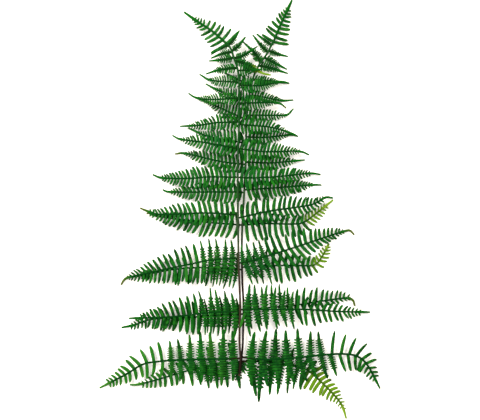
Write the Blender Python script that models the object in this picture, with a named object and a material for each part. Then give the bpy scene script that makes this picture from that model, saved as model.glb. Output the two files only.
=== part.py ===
"""A cut bracken frond that lies flat on a surface.

The frond grew as one piece, so it is one solid: a foot, two stalks that fork from it, a row of
side fronds on each side of both stalks, and a crown of simple leaflets at each stalk's end.
+X is to the right of the frond, +Y runs from the foot to the crowns, and +Z is up from the surface.
Every side frond is a thin blade cut to its rib, and lies in one of four sheets, one above the other.
"""
import math

import bmesh
import bpy
from mathutils import Vector

# Driving sizes, in metres
GRID_STEP = 0.0017          # real size of one step of the drawing grid that the layout is given on
SHEET_GAP = 0.0030          # height from one sheet of side fronds to the next
LOWEST_SHEET = 0.0008       # height of the lowest sheet's middle over the surface
ARCH_HEIGHT = 0.0110        # how far the middle of the frond arches off the surface
BLADE_THICKNESS = 0.00065   # a leaflet at its tip
RIB_THICKNESS = 0.0015      # a side frond's rib at the stalk
RIB_END_THICKNESS = 0.0008  # a side frond's rib at its tail
RIB_WIDTH = 0.0020          # a side frond's rib at the stalk
TAIL_WIDTH = 0.0012         # the bare end of a side frond
RIB_TAPER = 1.3             # a rib is down to its tail's width at 1 / 1.3 of its length
FOOT_RADIUS = 0.0020        # the stalk at the cut
FOOT_FLAT_LENGTH = 0.012    # the flat spot under the foot, where it was pressed on the surface
FOOT_HEIGHT = 0.0017        # the foot's middle over the surface
FOOT_TAPER_LENGTH = 0.030   # the foot narrows and rises into the stalk over this length
STALK_RADIUS = 0.0016       # a stalk beside the foot
STALK_END_RADIUS = 0.0010   # a stalk where its crown starts
STALK_SIDES = 8
LEFT_STALK_RINGS = 24
RIGHT_STALK_RINGS = 26

# The drawing grid: points are (across, down), counted in steps, and this is the frond's centre
GRID_CENTRE = (239.75, 205.0)

# Where the frond arches and where it spreads, in metres along Y
FOOT_END_Y = -0.300
FOOT_TOP_Y = -0.277         # the foot is level up to here
FORK_LOW_Y = -0.300         # the left stalk rises off the foot from here
FORK_HIGH_Y = -0.235        # and reaches its own height here
ARCH_START_Y = -0.150
ARCH_STOP_Y = 0.200
CROWN_END_Y = 0.345
WIDEST_Y = -0.310
NARROWEST_Y = 0.205
HALF_WIDTH_LOW = 0.238
HALF_WIDTH_HIGH = 0.088
EDGE_START, EDGE_STOP = 0.90, 1.08  # the sheets close up between these shares of the half width
EDGE_GAP_LOSS = 0.7         # and lose this share of the gap between them there

# Which sheet each stalk runs in: 0 is the lowest, and halves lie between two sheets
RIGHT_STALK_SHEET = 0.5
LEFT_STALK_SHEET = 2.5
FORK_SHEET = 0.35           # the left stalk where it leaves the foot
SHEET_BLEND = 0.022         # a side frond reaches its own sheet this far from its stalk
LEAFLET_LEAN = 0.16         # a leaflet's lean towards the tip, as a share of its length
SPACING_AT_TAIL = 0.45      # leaflet spacing at the tail, as a share of that at the stalk
LENGTH_AT_TAIL = 0.30       # leaflet length at the tail, as a share of the outer length
FIRST_LEAFLET_SHARE = 0.85  # length of the leaflet next to the stalk
FULL_LENGTH_SHARE = 0.10    # leaflets have their full length from this share of the way out
OUTER_SHARE = 0.75          # the outer length in a row below is read here
LENGTH_FALL_SHARE = 0.70    # leaflets shrink towards the tail from here
TAIL_DROP_SHARE = 0.16      # share of a side frond that bends down where its end rests
LEAST_TURN = 0.02           # a rib that turns less than this between leaflets, in radians, is straight
INSIDE_BEND_SHARE = 0.8     # a leaflet inside a bend ends at this share of the way to its neighbour's
LEAF_GREEN = (0.014, 0.17, 0.018, 1.0)
LEAF_ROUGHNESS = 0.45

# The stalks' middle lines on the drawing grid, from the foot up to where the crown starts
LEFT_STALK = [
    (239.4, 372), (240.5, 358), (239.7, 347), (239.5, 330), (240.2, 305), (238.7, 263), (238, 218),
    (237.8, 165), (239, 125), (239, 86), (238, 72), (235, 62), (231, 50), (227, 44),
]
RIGHT_STALK = [
    (239.3, 375.5), (241, 362), (242.6, 347), (243.1, 330), (243.6, 307), (242.1, 274), (242, 235),
    (244, 195), (246, 155), (246.5, 120), (251, 86), (258, 67), (267, 54), (272.5, 43), (275, 38),
]

# Side fronds: sheet, middle line on the drawing grid, leaflet lengths in grid steps on the crown
# side (at the stalk, further out) and on the foot side, leaflets on a side, and whether its end
# rests on the surface. The first point of each line is drawn in to its stalk's middle line.
UPPER, LOWER = "upper", "lower"
SIDE_FRONDS = [
    # From the left stalk, to the left
    (UPPER, 0, [(240.4, 358), (220, 358.5), (182, 359.5), (160, 361), (143, 364), (128, 373),
                (110, 382.5), (99.5, 388)], (27, 13), (26, 12), 13, True),
    (UPPER, 1, [(239.6, 310), (210, 312), (170, 316.5), (129, 318)], (21, 12), (20, 11), 12, False),
    (UPPER, 0, [(238.6, 258), (210, 260), (190, 264), (150, 272.5), (132, 276.5), (125, 279),
                (121, 285)], (20, 12), (22, 12), 12, False),
    (UPPER, 1, [(238, 214), (205, 213), (165, 214.5), (153, 213), (140, 208)], (14, 9), (14, 9), 12,
     False),
    (UPPER, 0, [(238, 176.5), (210, 177), (190, 178.5), (163, 178), (152.5, 174.5)], (10.5, 8), (9, 7),
     12, False),
    (UPPER, 1, [(239, 148), (206, 143), (181, 139.5), (172.5, 135.5)], (8.5, 6), (8.5, 6), 11, False),
    (UPPER, 0, [(239, 123.5), (218, 123), (199, 125.5), (180, 126.5)], (7.5, 5.5), (7.5, 5.5), 10, False),
    (UPPER, 1, [(239, 100), (212, 100), (196, 98), (188.5, 93.5)], (6, 4.5), (6, 4.5), 8, False),
    (UPPER, 0, [(239, 83.5), (225, 82), (210, 80.5), (199.5, 74.5)], (5.5, 4), (5.5, 4), 7, False),
    (UPPER, 1, [(237, 68.5), (220, 70.5), (206, 74.5)], (4.5, 3.5), (4.5, 3.5), 6, False),
    (UPPER, 0, [(234, 58.5), (226, 60), (209, 61.5)], (4, 3), (4, 3), 5, False),
    (UPPER, 1, [(231.8, 53), (222, 54.5), (211, 59)], (3, 2), (3, 2), 4, False),
    (UPPER, 0, [(228.5, 46), (219, 50), (211, 55)], (2.2, 1.4), (2.2, 1.4), 3, False),
    # From the left stalk, to the right
    (UPPER, 0, [(240.6, 356.5), (262, 359), (290, 358), (330, 354), (348, 354), (359, 357),
                (368, 366), (380, 388.5)], (27, 13), (22, 11), 13, True),
    (UPPER, 1, [(239.8, 309.5), (270, 309), (305, 309), (335, 311), (370, 312)], (21, 9), (21, 10), 12,
     False),
    (UPPER, 0, [(238.8, 264), (255, 259.5), (300, 245.5), (330, 235.5), (345, 231), (350, 230.5),
                (354, 235)], (18, 10), (20, 9), 12, False),
    (UPPER, 1, [(238, 217), (270, 211), (310, 205), (325, 197.5), (333, 198)], (15, 10), (13, 8), 12,
     False),
    (UPPER, 0, [(238, 179), (252, 178), (280, 176.5), (309, 173.5), (320.5, 174.5)],
     (9, 7), (9, 7), 11, False),
    (UPPER, 1, [(239, 149.5), (266, 152), (298, 151.5), (309, 155)], (7.5, 6), (7.5, 6), 10, False),
    (UPPER, 0, [(239, 125), (270, 127.5), (290, 133), (297, 136)], (6, 5), (6, 5), 9, False),
    (UPPER, 1, [(239, 104), (270, 103), (280, 104), (286, 108.5)], (5, 4), (5, 4), 7, False),
    (UPPER, 0, [(239, 86.5), (262, 86), (280, 82), (289.5, 83.5)], (5, 4), (5, 4), 7, False),
    (UPPER, 1, [(237.6, 71), (248, 71), (262, 70)], (4.5, 3.5), (4.5, 3.5), 4, False),
    (UPPER, 0, [(235.6, 61), (247, 65.5), (262, 73.5), (271, 75.5)], (4, 3), (4, 3), 5, False),
    (UPPER, 1, [(234.4, 58.5), (243, 56.5), (257.5, 47)], (3.6, 2.4), (3.6, 2.4), 5, False),
    (UPPER, 0, [(231.6, 52), (238, 47), (245.5, 37.5)], (2.8, 1.8), (2.8, 1.8), 4, False),
    (UPPER, 1, [(228.4, 46), (234, 40), (239.5, 31)], (2.4, 1.4), (2.4, 1.4), 3, False),
    # From the right stalk, to the right
    (LOWER, 0, [(241, 361), (262, 361.5), (290, 366), (305, 370), (322, 382), (339, 400),
                (345, 410)], (22, 9), (34, 10), 12, True),
    (LOWER, 1, [(243.5, 308), (260, 308), (297, 304.5), (335, 299), (348, 298), (353, 300.5),
                (354.5, 306)], (20, 9), (20, 8), 12, False),
    (LOWER, 0, [(242, 266), (270, 265.5), (300, 265.5), (314, 265), (321, 258), (329, 243.5)],
     (17, 7), (18, 10), 12, False),
    (LOWER, 1, [(242.3, 224), (265, 223.5), (290, 224), (303, 222.5), (316, 213.5), (333, 200)],
     (13, 7), (16, 9), 12, False),
    (LOWER, 0, [(244.3, 190), (280, 187.5), (310, 185), (321.5, 185)], (9, 7), (9, 7), 11, False),
    (LOWER, 1, [(246, 161.5), (270, 163), (305, 160)], (7, 5.5), (7, 5.5), 9, False),
    (LOWER, 0, [(246.2, 138), (265, 137.5), (290, 135), (298, 136.5)], (6.5, 5), (6.5, 5), 8, False),
    (LOWER, 1, [(247, 115.5), (275, 115.5), (287, 115), (293.5, 108.5)], (5.5, 4.5), (5.5, 4.5), 7, False),
    (LOWER, 0, [(249.6, 95), (262, 97), (280, 100.5), (293.5, 100)], (5, 4), (5, 4), 6, False),
    (LOWER, 1, [(252.6, 80), (268, 81.5), (289, 83.5)], (4.5, 3.5), (4.5, 3.5), 5, False),
    (LOWER, 0, [(258.5, 66), (270, 68), (288, 73.5)], (4, 3), (4, 3), 5, False),
    (LOWER, 1, [(264, 57.5), (272, 62), (287, 69.5)], (3.6, 2.6), (3.6, 2.6), 5, False),
    (LOWER, 0, [(268.7, 51), (277, 54), (288, 56.5)], (2.6, 1.6), (2.6, 1.6), 4, False),
    # From the right stalk, to the left
    (LOWER, 1, [(241, 361), (205, 366), (186, 371), (150, 381.5), (136, 384.5), (130, 384.5)],
     (20, 9), (24, 7), 12, False),
    (LOWER, 0, [(243.4, 314), (190, 317), (153, 319), (134, 325), (121.5, 327.5)], (16, 10), (16, 8),
     12, False),
    (LOWER, 1, [(242, 269), (215, 267.5), (180, 268.5), (140, 275.5), (129, 277)], (15, 9), (18, 10),
     12, False),
    (LOWER, 0, [(242.3, 226), (200, 221.5), (160, 216.5), (147, 212.5)], (13, 9), (16, 10), 12, False),
    (LOWER, 1, [(244.2, 193.5), (230, 192), (173, 192), (162.5, 189.5)], (9, 7), (10, 8), 11, False),
    (LOWER, 0, [(245.6, 165.5), (220, 161.5), (186, 153.5), (175, 154)], (8, 6), (8, 6), 10, False),
    (LOWER, 1, [(246, 143), (210, 137), (188, 128)], (7, 5), (7, 5), 9, False),
    (LOWER, 0, [(246.5, 121), (222, 109), (197, 98)], (6, 4.5), (6, 4.5), 8, False),
    (LOWER, 1, [(248.6, 103), (219, 91), (205.5, 84)], (5.5, 4), (5.5, 4), 7, False),
    (LOWER, 0, [(251, 86), (238, 80), (224, 73)], (5, 3.6), (5, 3.6), 5, False),
    (LOWER, 1, [(255.2, 73), (246, 66), (236, 59)], (4, 3), (4, 3), 4, False),
    (LOWER, 0, [(260.6, 63), (256, 55), (243, 42)], (4, 2.6), (4, 2.6), 5, False),
    (LOWER, 1, [(267.8, 52.5), (261, 46), (252.5, 35)], (2.8, 1.6), (2.8, 1.6), 4, False),
    (LOWER, 0, [(271.6, 45), (264, 40), (256.5, 34)], (2.0, 1.2), (2.0, 1.2), 3, False),
]

# Crowns: the stalk's end with simple leaflets, in the same form. Their ends rest on the surface.
CROWNS = [
    (UPPER, [(229.5, 47.5), (222, 40), (210, 30), (196, 21), (184, 12)], (13, 5), (14, 5), 9),
    (LOWER, [(273.4, 41.5), (275, 38), (280, 26), (286, 13), (292, 0)], (13, 4), (15, 6), 9),
]
CROWN_BARE_START = 0.0040   # the crown's rib runs on inside the stalk for this far
SIDE_BARE_START = 0.0100    # bare rib between a stalk and the first leaflet, lowest rows
SIDE_BARE_SHARE = 0.055     # the same on a short side frond: this share of its length
SIDE_BARE_LEAST = 0.0020    # and this much more
TAIL_LENGTH = 0.0150        # bare tail of a side frond
CROWN_TAIL_LENGTH = 0.0120  # bare tail of a crown
TAIL_SHARE = 0.22           # the same on a short side frond, as a share of its length


def smooth_step(low, high, value):
    """0 below low, 1 above high and an even ease between them."""
    share = min(max((value - low) / (high - low), 0.0), 1.0)
    return share * share * (3.0 - 2.0 * share)


def mix(start, end, share):
    return start + (end - start) * share


def on_plan(point):
    """A point of the drawing grid as a real one on the surface, in metres."""
    across, down = point
    return Vector(((across - GRID_CENTRE[0]) * GRID_STEP, (GRID_CENTRE[1] - down) * GRID_STEP))


def half_width(y):
    """The frond's half width at a height along it, where its side fronds end."""
    share = min(max((y - WIDEST_Y) / (NARROWEST_Y - WIDEST_Y), 0.0), 1.0)
    return mix(HALF_WIDTH_LOW, HALF_WIDTH_HIGH, share)


def sheet_height(x, y, sheet):
    """Height of a sheet's middle over the surface. Sheets keep their order, so blades never cross."""
    out = abs(x) / half_width(y)
    arch = 1.0 - smooth_step(0.0, 1.0, out)
    arch *= smooth_step(FOOT_END_Y, ARCH_START_Y, y)
    arch *= 1.0 - smooth_step(ARCH_STOP_Y, CROWN_END_Y, y)
    gap = SHEET_GAP * (1.0 - EDGE_GAP_LOSS * smooth_step(EDGE_START, EDGE_STOP, out))
    return LOWEST_SHEET + ARCH_HEIGHT * arch + gap * sheet


def smooth_path(points, steps=10):
    """A smooth line through the points, as many short straight runs."""
    ends = [points[0] * 2 - points[1]] + points + [points[-1] * 2 - points[-2]]
    path = []
    for before, start, end, after in zip(ends, ends[1:], ends[2:], ends[3:]):
        for step in range(steps):
            t = step / steps
            path.append(0.5 * (
                2 * start
                + (end - before) * t
                + (2 * before - 5 * start + 4 * end - after) * t ** 2
                + (3 * start - before - 3 * end + after) * t ** 3
            ))
    return path + [points[-1]]


class Path:
    """A smooth line on the surface that can be read at any distance along it."""

    def __init__(self, points):
        self.points = smooth_path(points)
        self.marks = [0.0]
        for start, end in zip(self.points, self.points[1:]):
            self.marks.append(self.marks[-1] + (end - start).length)
        self.length = self.marks[-1]

    def at(self, distance):
        distance = min(max(distance, 0.0), self.length)
        for index in range(1, len(self.marks)):
            if self.marks[index] >= distance:
                break
        run = self.marks[index] - self.marks[index - 1]
        return self.points[index - 1].lerp(self.points[index], (distance - self.marks[index - 1]) / run)

    def heading(self, distance, reach=0.004):
        return (self.at(distance + reach) - self.at(distance - reach)).normalized()


def leaflet_stations(start, end, count):
    """Distances of the notches between leaflets, closer together towards the tail."""
    ratio = SPACING_AT_TAIL ** (1.0 / max(count - 1, 1))
    runs = [ratio ** index for index in range(count)]
    scale = (end - start) / sum(runs)
    stations = [start]
    for run in runs:
        stations.append(stations[-1] + run * scale)
    return stations


def leaflet_length(near, far, share):
    """Length of a leaflet at a share of the way out: shorter by the stalk and towards the tail."""
    length = mix(near, far, min(share / OUTER_SHARE, 1.0))
    length *= mix(FIRST_LEAFLET_SHARE, 1.0, smooth_step(0.0, FULL_LENGTH_SHARE, share))
    return length * mix(1.0, LENGTH_AT_TAIL, smooth_step(LENGTH_FALL_SHARE, 1.0, share))


def height_along(path, distance, sheet, stalk_sheet, rests):
    """Height of a rib: from its stalk to its own sheet, and down to the surface if its end rests."""
    own = mix(stalk_sheet, sheet, smooth_step(0.0, SHEET_BLEND, distance))
    point = path.at(distance)
    height = sheet_height(point.x, point.y, own)
    if rests:
        share = smooth_step(1.0 - TAIL_DROP_SHARE, 1.0, distance / path.length)
        height = mix(height, RIB_END_THICKNESS / 2, share)
    return height


def add_ring(mesh, corners, thickness, height):
    """Top and bottom points over and under each corner."""
    top = [mesh.verts.new((x, y, height + thickness / 2)) for x, y in corners]
    bottom = [mesh.verts.new((x, y, height - thickness / 2)) for x, y in corners]
    return top, bottom


def blade(name, path, sheet, stalk_sheet, above, below, count, bare, tail, rests):
    """A thin closed blade round a rib, cut to the rib between its leaflets, alike on both faces."""
    mesh = bmesh.new()
    notches = leaflet_stations(bare, path.length - tail, count)
    stations = [0.0] + notches + [mix(notches[-1], path.length, 0.5), path.length]
    first_notch = 1
    last_notch = first_notch + count
    rings = []
    for distance in stations:
        share = distance / path.length
        point = path.at(distance)
        forward = path.heading(distance)
        half_rib = mix(RIB_WIDTH, TAIL_WIDTH, min(share * RIB_TAPER, 1.0)) / 2
        side = Vector((-forward.y, forward.x)) * half_rib
        height = height_along(path, distance, sheet, stalk_sheet, rests)
        thickness = mix(RIB_THICKNESS, RIB_END_THICKNESS, share)
        rings.append(add_ring(mesh, [point + side, point - side], thickness, height))

    def face(*points):
        mesh.faces.new(points)

    # Whether the crown side is to the left of the rib's heading
    crown_on_left = path.at(path.length * 0.5).x > path.at(0.0).x
    for index in range(len(rings) - 1):
        top, bottom = rings[index]
        next_top, next_bottom = rings[index + 1]
        for these, those in ((top, next_top), (bottom, next_bottom)):
            face(these[0], these[1], those[1])
            face(these[0], those[1], those[0])
        for left in (True, False):
            corner = 0 if left else 1
            if not first_notch <= index < last_notch:
                face(top[corner], next_top[corner], next_bottom[corner])
                face(top[corner], next_bottom[corner], bottom[corner])
                continue
            here, there = stations[index], stations[index + 1]
            middle = (here + there) / 2
            share = (middle - notches[0]) / (notches[-1] - notches[0])
            near, far = above if left == crown_on_left else below
            length = leaflet_length(near, far, share) * GRID_STEP
            turn = path.heading(there).angle_signed(path.heading(here))
            inward = turn if left else -turn
            if inward > LEAST_TURN:
                length = min(length, INSIDE_BEND_SHARE * (there - here) / inward)
            forward = path.heading(middle)
            side = Vector((-forward.y, forward.x)) * (1 if left else -1)
            tip = path.at(middle) + side * length + forward * length * LEAFLET_LEAN
            rib_height = height_along(path, middle, sheet, stalk_sheet, rests)
            own = mix(stalk_sheet, sheet, smooth_step(0.0, SHEET_BLEND, middle))
            along_sheet = sheet_height(tip.x, tip.y, own)
            at_rib = sheet_height(path.at(middle).x, path.at(middle).y, own)
            height = max(rib_height + along_sheet - at_rib, BLADE_THICKNESS / 2)
            tip_top = mesh.verts.new((tip.x, tip.y, height + BLADE_THICKNESS / 2))
            tip_bottom = mesh.verts.new((tip.x, tip.y, height - BLADE_THICKNESS / 2))
            face(top[corner], next_top[corner], tip_top)
            face(bottom[corner], next_bottom[corner], tip_bottom)
            face(top[corner], tip_top, tip_bottom)
            face(top[corner], tip_bottom, bottom[corner])
            face(tip_top, next_top[corner], next_bottom[corner])
            face(tip_top, next_bottom[corner], tip_bottom)
    for top, bottom in (rings[0], rings[-1]):
        face(top[0], top[1], bottom[1])
        face(top[0], bottom[1], bottom[0])
    return finished_object(name, mesh)


def finished_object(name, mesh):
    bmesh.ops.recalc_face_normals(mesh, faces=mesh.faces[:])
    data = bpy.data.meshes.new(name)
    mesh.to_mesh(data)
    mesh.free()
    made = bpy.data.objects.new(name, data)
    bpy.context.scene.collection.objects.link(made)
    return made


def stalk(name, points, radii, heights):
    """A closed round stalk through the points, with any part below the surface pressed flat on it."""
    mesh = bmesh.new()
    rings = []
    for index, point in enumerate(points):
        before = points[max(index - 1, 0)]
        after = points[min(index + 1, len(points) - 1)]
        forward = (after - before).normalized()
        side = Vector((-forward.y, forward.x, 0.0))
        ring = []
        for step in range(STALK_SIDES):
            angle = 2 * math.pi * (step + 0.5) / STALK_SIDES
            corner = Vector((point.x, point.y, heights[index])) + side * (radii[index] * math.cos(angle))
            corner.z += radii[index] * math.sin(angle)
            corner.z = max(corner.z, 0.0)
            ring.append(mesh.verts.new(corner))
        rings.append(ring)
    for ring, following in zip(rings, rings[1:]):
        for step in range(STALK_SIDES):
            after = (step + 1) % STALK_SIDES
            mesh.faces.new((ring[step], ring[after], following[after], following[step]))
    mesh.faces.new(rings[0])
    mesh.faces.new(rings[-1])
    bmesh.ops.triangulate(mesh, faces=mesh.faces[:])
    return finished_object(name, mesh)


def stalk_line(points, count):
    """Points along a stalk's smooth middle line: two over the foot's flat spot, then evenly spaced."""
    path = Path([on_plan(point) for point in points])
    distances = [0.0, FOOT_FLAT_LENGTH / 2]
    for index in range(count):
        distances.append(mix(FOOT_FLAT_LENGTH, path.length, index / (count - 1)))
    return [path.at(distance) for distance in distances]


def nearest_on_line(line, target):
    """The point of a line of short straight runs that lies nearest to the target."""
    best = line[0]
    for start, end in zip(line, line[1:]):
        run = end - start
        share = min(max((target - start).dot(run) / run.length_squared, 0.0), 1.0)
        point = start + run * share
        if (point - target).length < (best - target).length:
            best = point
    return best


def left_stalk():
    """Rises off the foot just below the first side fronds, then runs over the right stalk's rows."""
    points = stalk_line(LEFT_STALK, LEFT_STALK_RINGS)
    heights = []
    radii = []
    for index, point in enumerate(points):
        share = index / (len(points) - 1)
        heights.append(sheet_height(point.x, point.y, left_stalk_sheet(point.y)))
        radii.append(mix(STALK_RADIUS, STALK_END_RADIUS, share))
    return stalk("left_stalk", points, radii, heights)


def right_stalk():
    """Lies on the surface at the foot, with the cut end, and runs under the left stalk's rows."""
    points = stalk_line(RIGHT_STALK, RIGHT_STALK_RINGS)
    heights = []
    radii = []
    for index, point in enumerate(points):
        share = index / (len(points) - 1)
        own_radius = mix(STALK_RADIUS, STALK_END_RADIUS, share)
        foot = 1.0 - smooth_step(FOOT_TOP_Y, FOOT_TOP_Y + FOOT_TAPER_LENGTH, point.y)
        radii.append(mix(own_radius, FOOT_RADIUS, foot))
        heights.append(mix(sheet_height(point.x, point.y, RIGHT_STALK_SHEET), FOOT_HEIGHT, foot))
    return stalk("right_stalk", points, radii, heights)


def left_stalk_sheet(y):
    """Which sheet the left stalk runs in at a height along the frond."""
    return mix(FORK_SHEET, LEFT_STALK_SHEET, smooth_step(FORK_LOW_Y, FORK_HIGH_Y, y))


def side_frond(index, row):
    level, step, points, above, below, count, rests = row
    line = stalk_line(LEFT_STALK, LEFT_STALK_RINGS)
    if level == LOWER:
        line = stalk_line(RIGHT_STALK, RIGHT_STALK_RINGS)
    points = [on_plan(point) for point in points]
    points[0] = nearest_on_line(line, points[0])
    path = Path(points)
    if level == UPPER:
        sheet = 2 + step
        stalk_sheet = left_stalk_sheet(path.at(0.0).y)
    else:
        sheet = step
        stalk_sheet = RIGHT_STALK_SHEET
    bare = min(SIDE_BARE_START, path.length * SIDE_BARE_SHARE + SIDE_BARE_LEAST)
    tail = min(TAIL_LENGTH, path.length * TAIL_SHARE)
    name = f"side_frond_{index}"
    return blade(name, path, sheet, stalk_sheet, above, below, count, bare, tail, rests)


def crown(index, row):
    level, points, above, below, count = row
    sheet = LEFT_STALK_SHEET if level == UPPER else RIGHT_STALK_SHEET
    path = Path([on_plan(point) for point in points])
    return blade(f"crown_{index}", path, sheet, sheet, above, below, count, CROWN_BARE_START,
                 CROWN_TAIL_LENGTH, True)


def leaf_material():
    material = bpy.data.materials.new("bracken_green")
    material.use_nodes = True
    shader = material.node_tree.nodes["Principled BSDF"]
    shader.inputs["Base Color"].default_value = LEAF_GREEN
    shader.inputs["Roughness"].default_value = LEAF_ROUGHNESS
    shader.inputs["Metallic"].default_value = 0.0
    return material


def join(base, others):
    """Grows the pieces together into one closed body."""
    grown = bpy.data.collections.new("grown_together")
    bpy.context.scene.collection.children.link(grown)
    for other in others:
        bpy.context.scene.collection.objects.unlink(other)
        grown.objects.link(other)
    union = base.modifiers.new("Grow together", "BOOLEAN")
    union.operation = "UNION"
    union.operand_type = "COLLECTION"
    union.collection = grown
    union.solver = "EXACT"
    bpy.context.view_layer.update()
    graph = bpy.context.evaluated_depsgraph_get()
    joined = bpy.data.meshes.new_from_object(base.evaluated_get(graph))
    base.modifiers.remove(union)
    base.data = joined
    for other in list(grown.objects):
        bpy.data.objects.remove(other, do_unlink=True)
    bpy.data.collections.remove(grown)


def main():
    for old in list(bpy.data.objects):
        bpy.data.objects.remove(old, do_unlink=True)
    frond = right_stalk()
    pieces = [left_stalk()]
    pieces += [side_frond(index, row) for index, row in enumerate(SIDE_FRONDS)]
    pieces += [crown(index, row) for index, row in enumerate(CROWNS)]
    join(frond, pieces)
    frond.name = "bracken_frond"
    frond.data.name = "bracken_frond"
    frond.data.materials.clear()
    frond.data.materials.append(leaf_material())


main()
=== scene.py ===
# %% [markdown]
# # A cut bracken frond, seen from straight above
# This lesson dresses a plain solid model of a bracken frond as the living thing. The solid model is
# the frame: it says how big the frond is and where it lies, and every leaf here goes where it says.
# The leaves could be drawn with no frame at all, but then nothing would hold them to a real size, so the
# frame is loaded first. Each cell makes one thing, and most print what they made.

# %% Load the frame
import math
from dataclasses import dataclass

import bmesh
import bpy
import numpy as np
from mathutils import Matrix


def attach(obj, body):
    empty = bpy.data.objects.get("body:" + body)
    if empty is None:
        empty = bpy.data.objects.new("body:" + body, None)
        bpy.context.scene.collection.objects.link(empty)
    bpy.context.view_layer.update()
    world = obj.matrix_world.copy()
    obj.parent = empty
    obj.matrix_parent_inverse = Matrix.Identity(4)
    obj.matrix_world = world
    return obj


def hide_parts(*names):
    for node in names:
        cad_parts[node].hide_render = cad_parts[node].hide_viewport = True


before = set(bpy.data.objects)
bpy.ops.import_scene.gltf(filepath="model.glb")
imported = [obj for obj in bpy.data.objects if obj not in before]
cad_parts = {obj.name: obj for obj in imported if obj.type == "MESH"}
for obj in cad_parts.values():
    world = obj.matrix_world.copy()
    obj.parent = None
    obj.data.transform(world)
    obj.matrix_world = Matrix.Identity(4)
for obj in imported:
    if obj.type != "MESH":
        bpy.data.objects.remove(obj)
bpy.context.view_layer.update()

# %% [markdown]
# ## Sizes
# A cut frond of this kind is about 70 cm long, with stalks 3 to 4 mm thick. It is drawn on the
# photograph's own grid, one step for each pixel, and one number turns a step into metres. Sizes could
# be typed where they are used, but a change would then have to be made in many places, so each one has
# a name here.

# %% Driving sizes, in metres
MILLIMETRE = 0.001
GRID_STEP = 0.0017              # one step of the drawing grid
GRID_CENTRE = (239.75, 205.0)   # the place on the grid that lies at the origin
FOOT_RADIUS = 0.0021
STALK_RADIUS = 0.00185
STALK_END_RADIUS = 0.0018
RIB_HALF_WIDTH = 0.0015
CROWN_RIB_HALF_WIDTH = 0.0020
RIB_FLATNESS = 0.55             # how high a rib is, as a share of its width
LEAF_THICKNESS = 0.00042

# The four sheets that the side fronds lie in, one above the other, and how the frond arches
SHEET_GAP = 0.0030
EDGE_CLOSING = 0.7                  # the sheets close up by this share of the gap at the frond's edge
EDGE_FROM, EDGE_TO = 0.90, 1.08     # from here to here, as shares of the frond's half width
LOWEST_SHEET = 0.0007
ARCH_HEIGHT = 0.0110
RIGHT_STALK_SHEET = 0.5             # the stalks run between two sheets
LEFT_STALK_SHEET = 2.5
FORK_SHEET = 0.35                   # where the left stalk starts, on the foot
SHEET_BLEND = 0.022                 # a side frond reaches its own sheet this far from its stalk
FIRST_LEFT_SHEET = 2                # sheets 0 and 1 are the right stalk's, 2 and 3 the left one's

# Where the frond arches, forks and spreads, in metres along Y
FOOT_END_Y, FOOT_TOP_Y = -0.300, -0.277
FOOT_BLEND = 0.030
FORK_LOW_Y, FORK_HIGH_Y = -0.300, -0.235
ARCH_START_Y, ARCH_STOP_Y, CROWN_END_Y = -0.150, 0.200, 0.345
WIDEST_Y, NARROWEST_Y = -0.310, 0.205
HALF_WIDTH_LOW, HALF_WIDTH_HIGH = 0.238, 0.088
FOOT_HEIGHT = 0.0017
LEAST_HEIGHT = 0.0001               # nothing comes nearer to the surface than this
print(f"grid step {GRID_STEP / MILLIMETRE:.1f} mm, arch {ARCH_HEIGHT / MILLIMETRE:.0f} mm high")

# %% [markdown]
# ## The camera
# The photograph looks straight down on a white table. A camera without perspective could take the same
# view, but a real one has some, so a long lens from high above is used here. Its length is worked out
# so that the picture is as many grid steps wide as the photograph.

# %% Camera
PICTURE_STEPS = (480, 420)
CAMERA_HEIGHT = 3.2
CAMERA_REACH = 50.0
SENSOR = 0.036

camera_data = bpy.data.cameras.new("Camera above")
camera = bpy.data.objects.new("Camera above", camera_data)
bpy.context.scene.collection.objects.link(camera)
picture_width = PICTURE_STEPS[0] * GRID_STEP
camera_data.sensor_fit = "HORIZONTAL"
camera_data.sensor_width = SENSOR / MILLIMETRE
camera_data.lens = SENSOR / MILLIMETRE * CAMERA_HEIGHT / picture_width
camera_x = (PICTURE_STEPS[0] / 2 - GRID_CENTRE[0]) * GRID_STEP
camera_y = (GRID_CENTRE[1] - PICTURE_STEPS[1] / 2) * GRID_STEP
camera.location = (camera_x, camera_y, CAMERA_HEIGHT)
camera_data.clip_end = CAMERA_REACH
bpy.context.scene.camera = camera
print(f"camera: {camera_data.lens:.0f} mm lens, {CAMERA_HEIGHT} m up, picture {picture_width:.3f} m wide")


# %% [markdown]
# ## Helpers
# Three small helpers serve every material and node tree below. One turns a colour as it is written for
# the web into the linear values that a shader works in. One adds a node, with its settings, its values
# and its links. One starts a material and sets its sheen. Each could be written out every time, but a
# script of many nodes is easier to read when one line makes one node.

# %% Helpers for colours and nodes
def linear(hex_colour):
    """An sRGB colour such as "#1f7a22" as linear red, green, blue and alpha."""
    values = []
    for start in (1, 3, 5):
        value = int(hex_colour[start:start + 2], 16) / 255
        values.append(value / 12.92 if value <= 0.04045 else ((value + 0.055) / 1.055) ** 2.4)
    return (*values, 1.0)


def add_node(tree, kind, settings=None, inputs=None):
    """Adds a node. An input is a plain value, or the output socket that feeds it."""
    node = tree.nodes.new(kind)
    for name, value in (settings or {}).items():
        setattr(node, name, value)
    for name, value in (inputs or {}).items():
        if isinstance(value, bpy.types.NodeSocket):
            tree.links.new(value, node.inputs[name])
        else:
            node.inputs[name].default_value = value
    return node


def new_material(name, roughness, specular):
    """A material with this sheen, its node tree and its shader."""
    material = bpy.data.materials.new(name)
    material.use_nodes = True
    tree = material.node_tree
    shader = tree.nodes["Principled BSDF"]
    shader.inputs["Roughness"].default_value = roughness
    shader.inputs["Specular IOR Level"].default_value = specular
    return material, tree, shader


print("helpers: white is", linear("#ffffff"))

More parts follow.
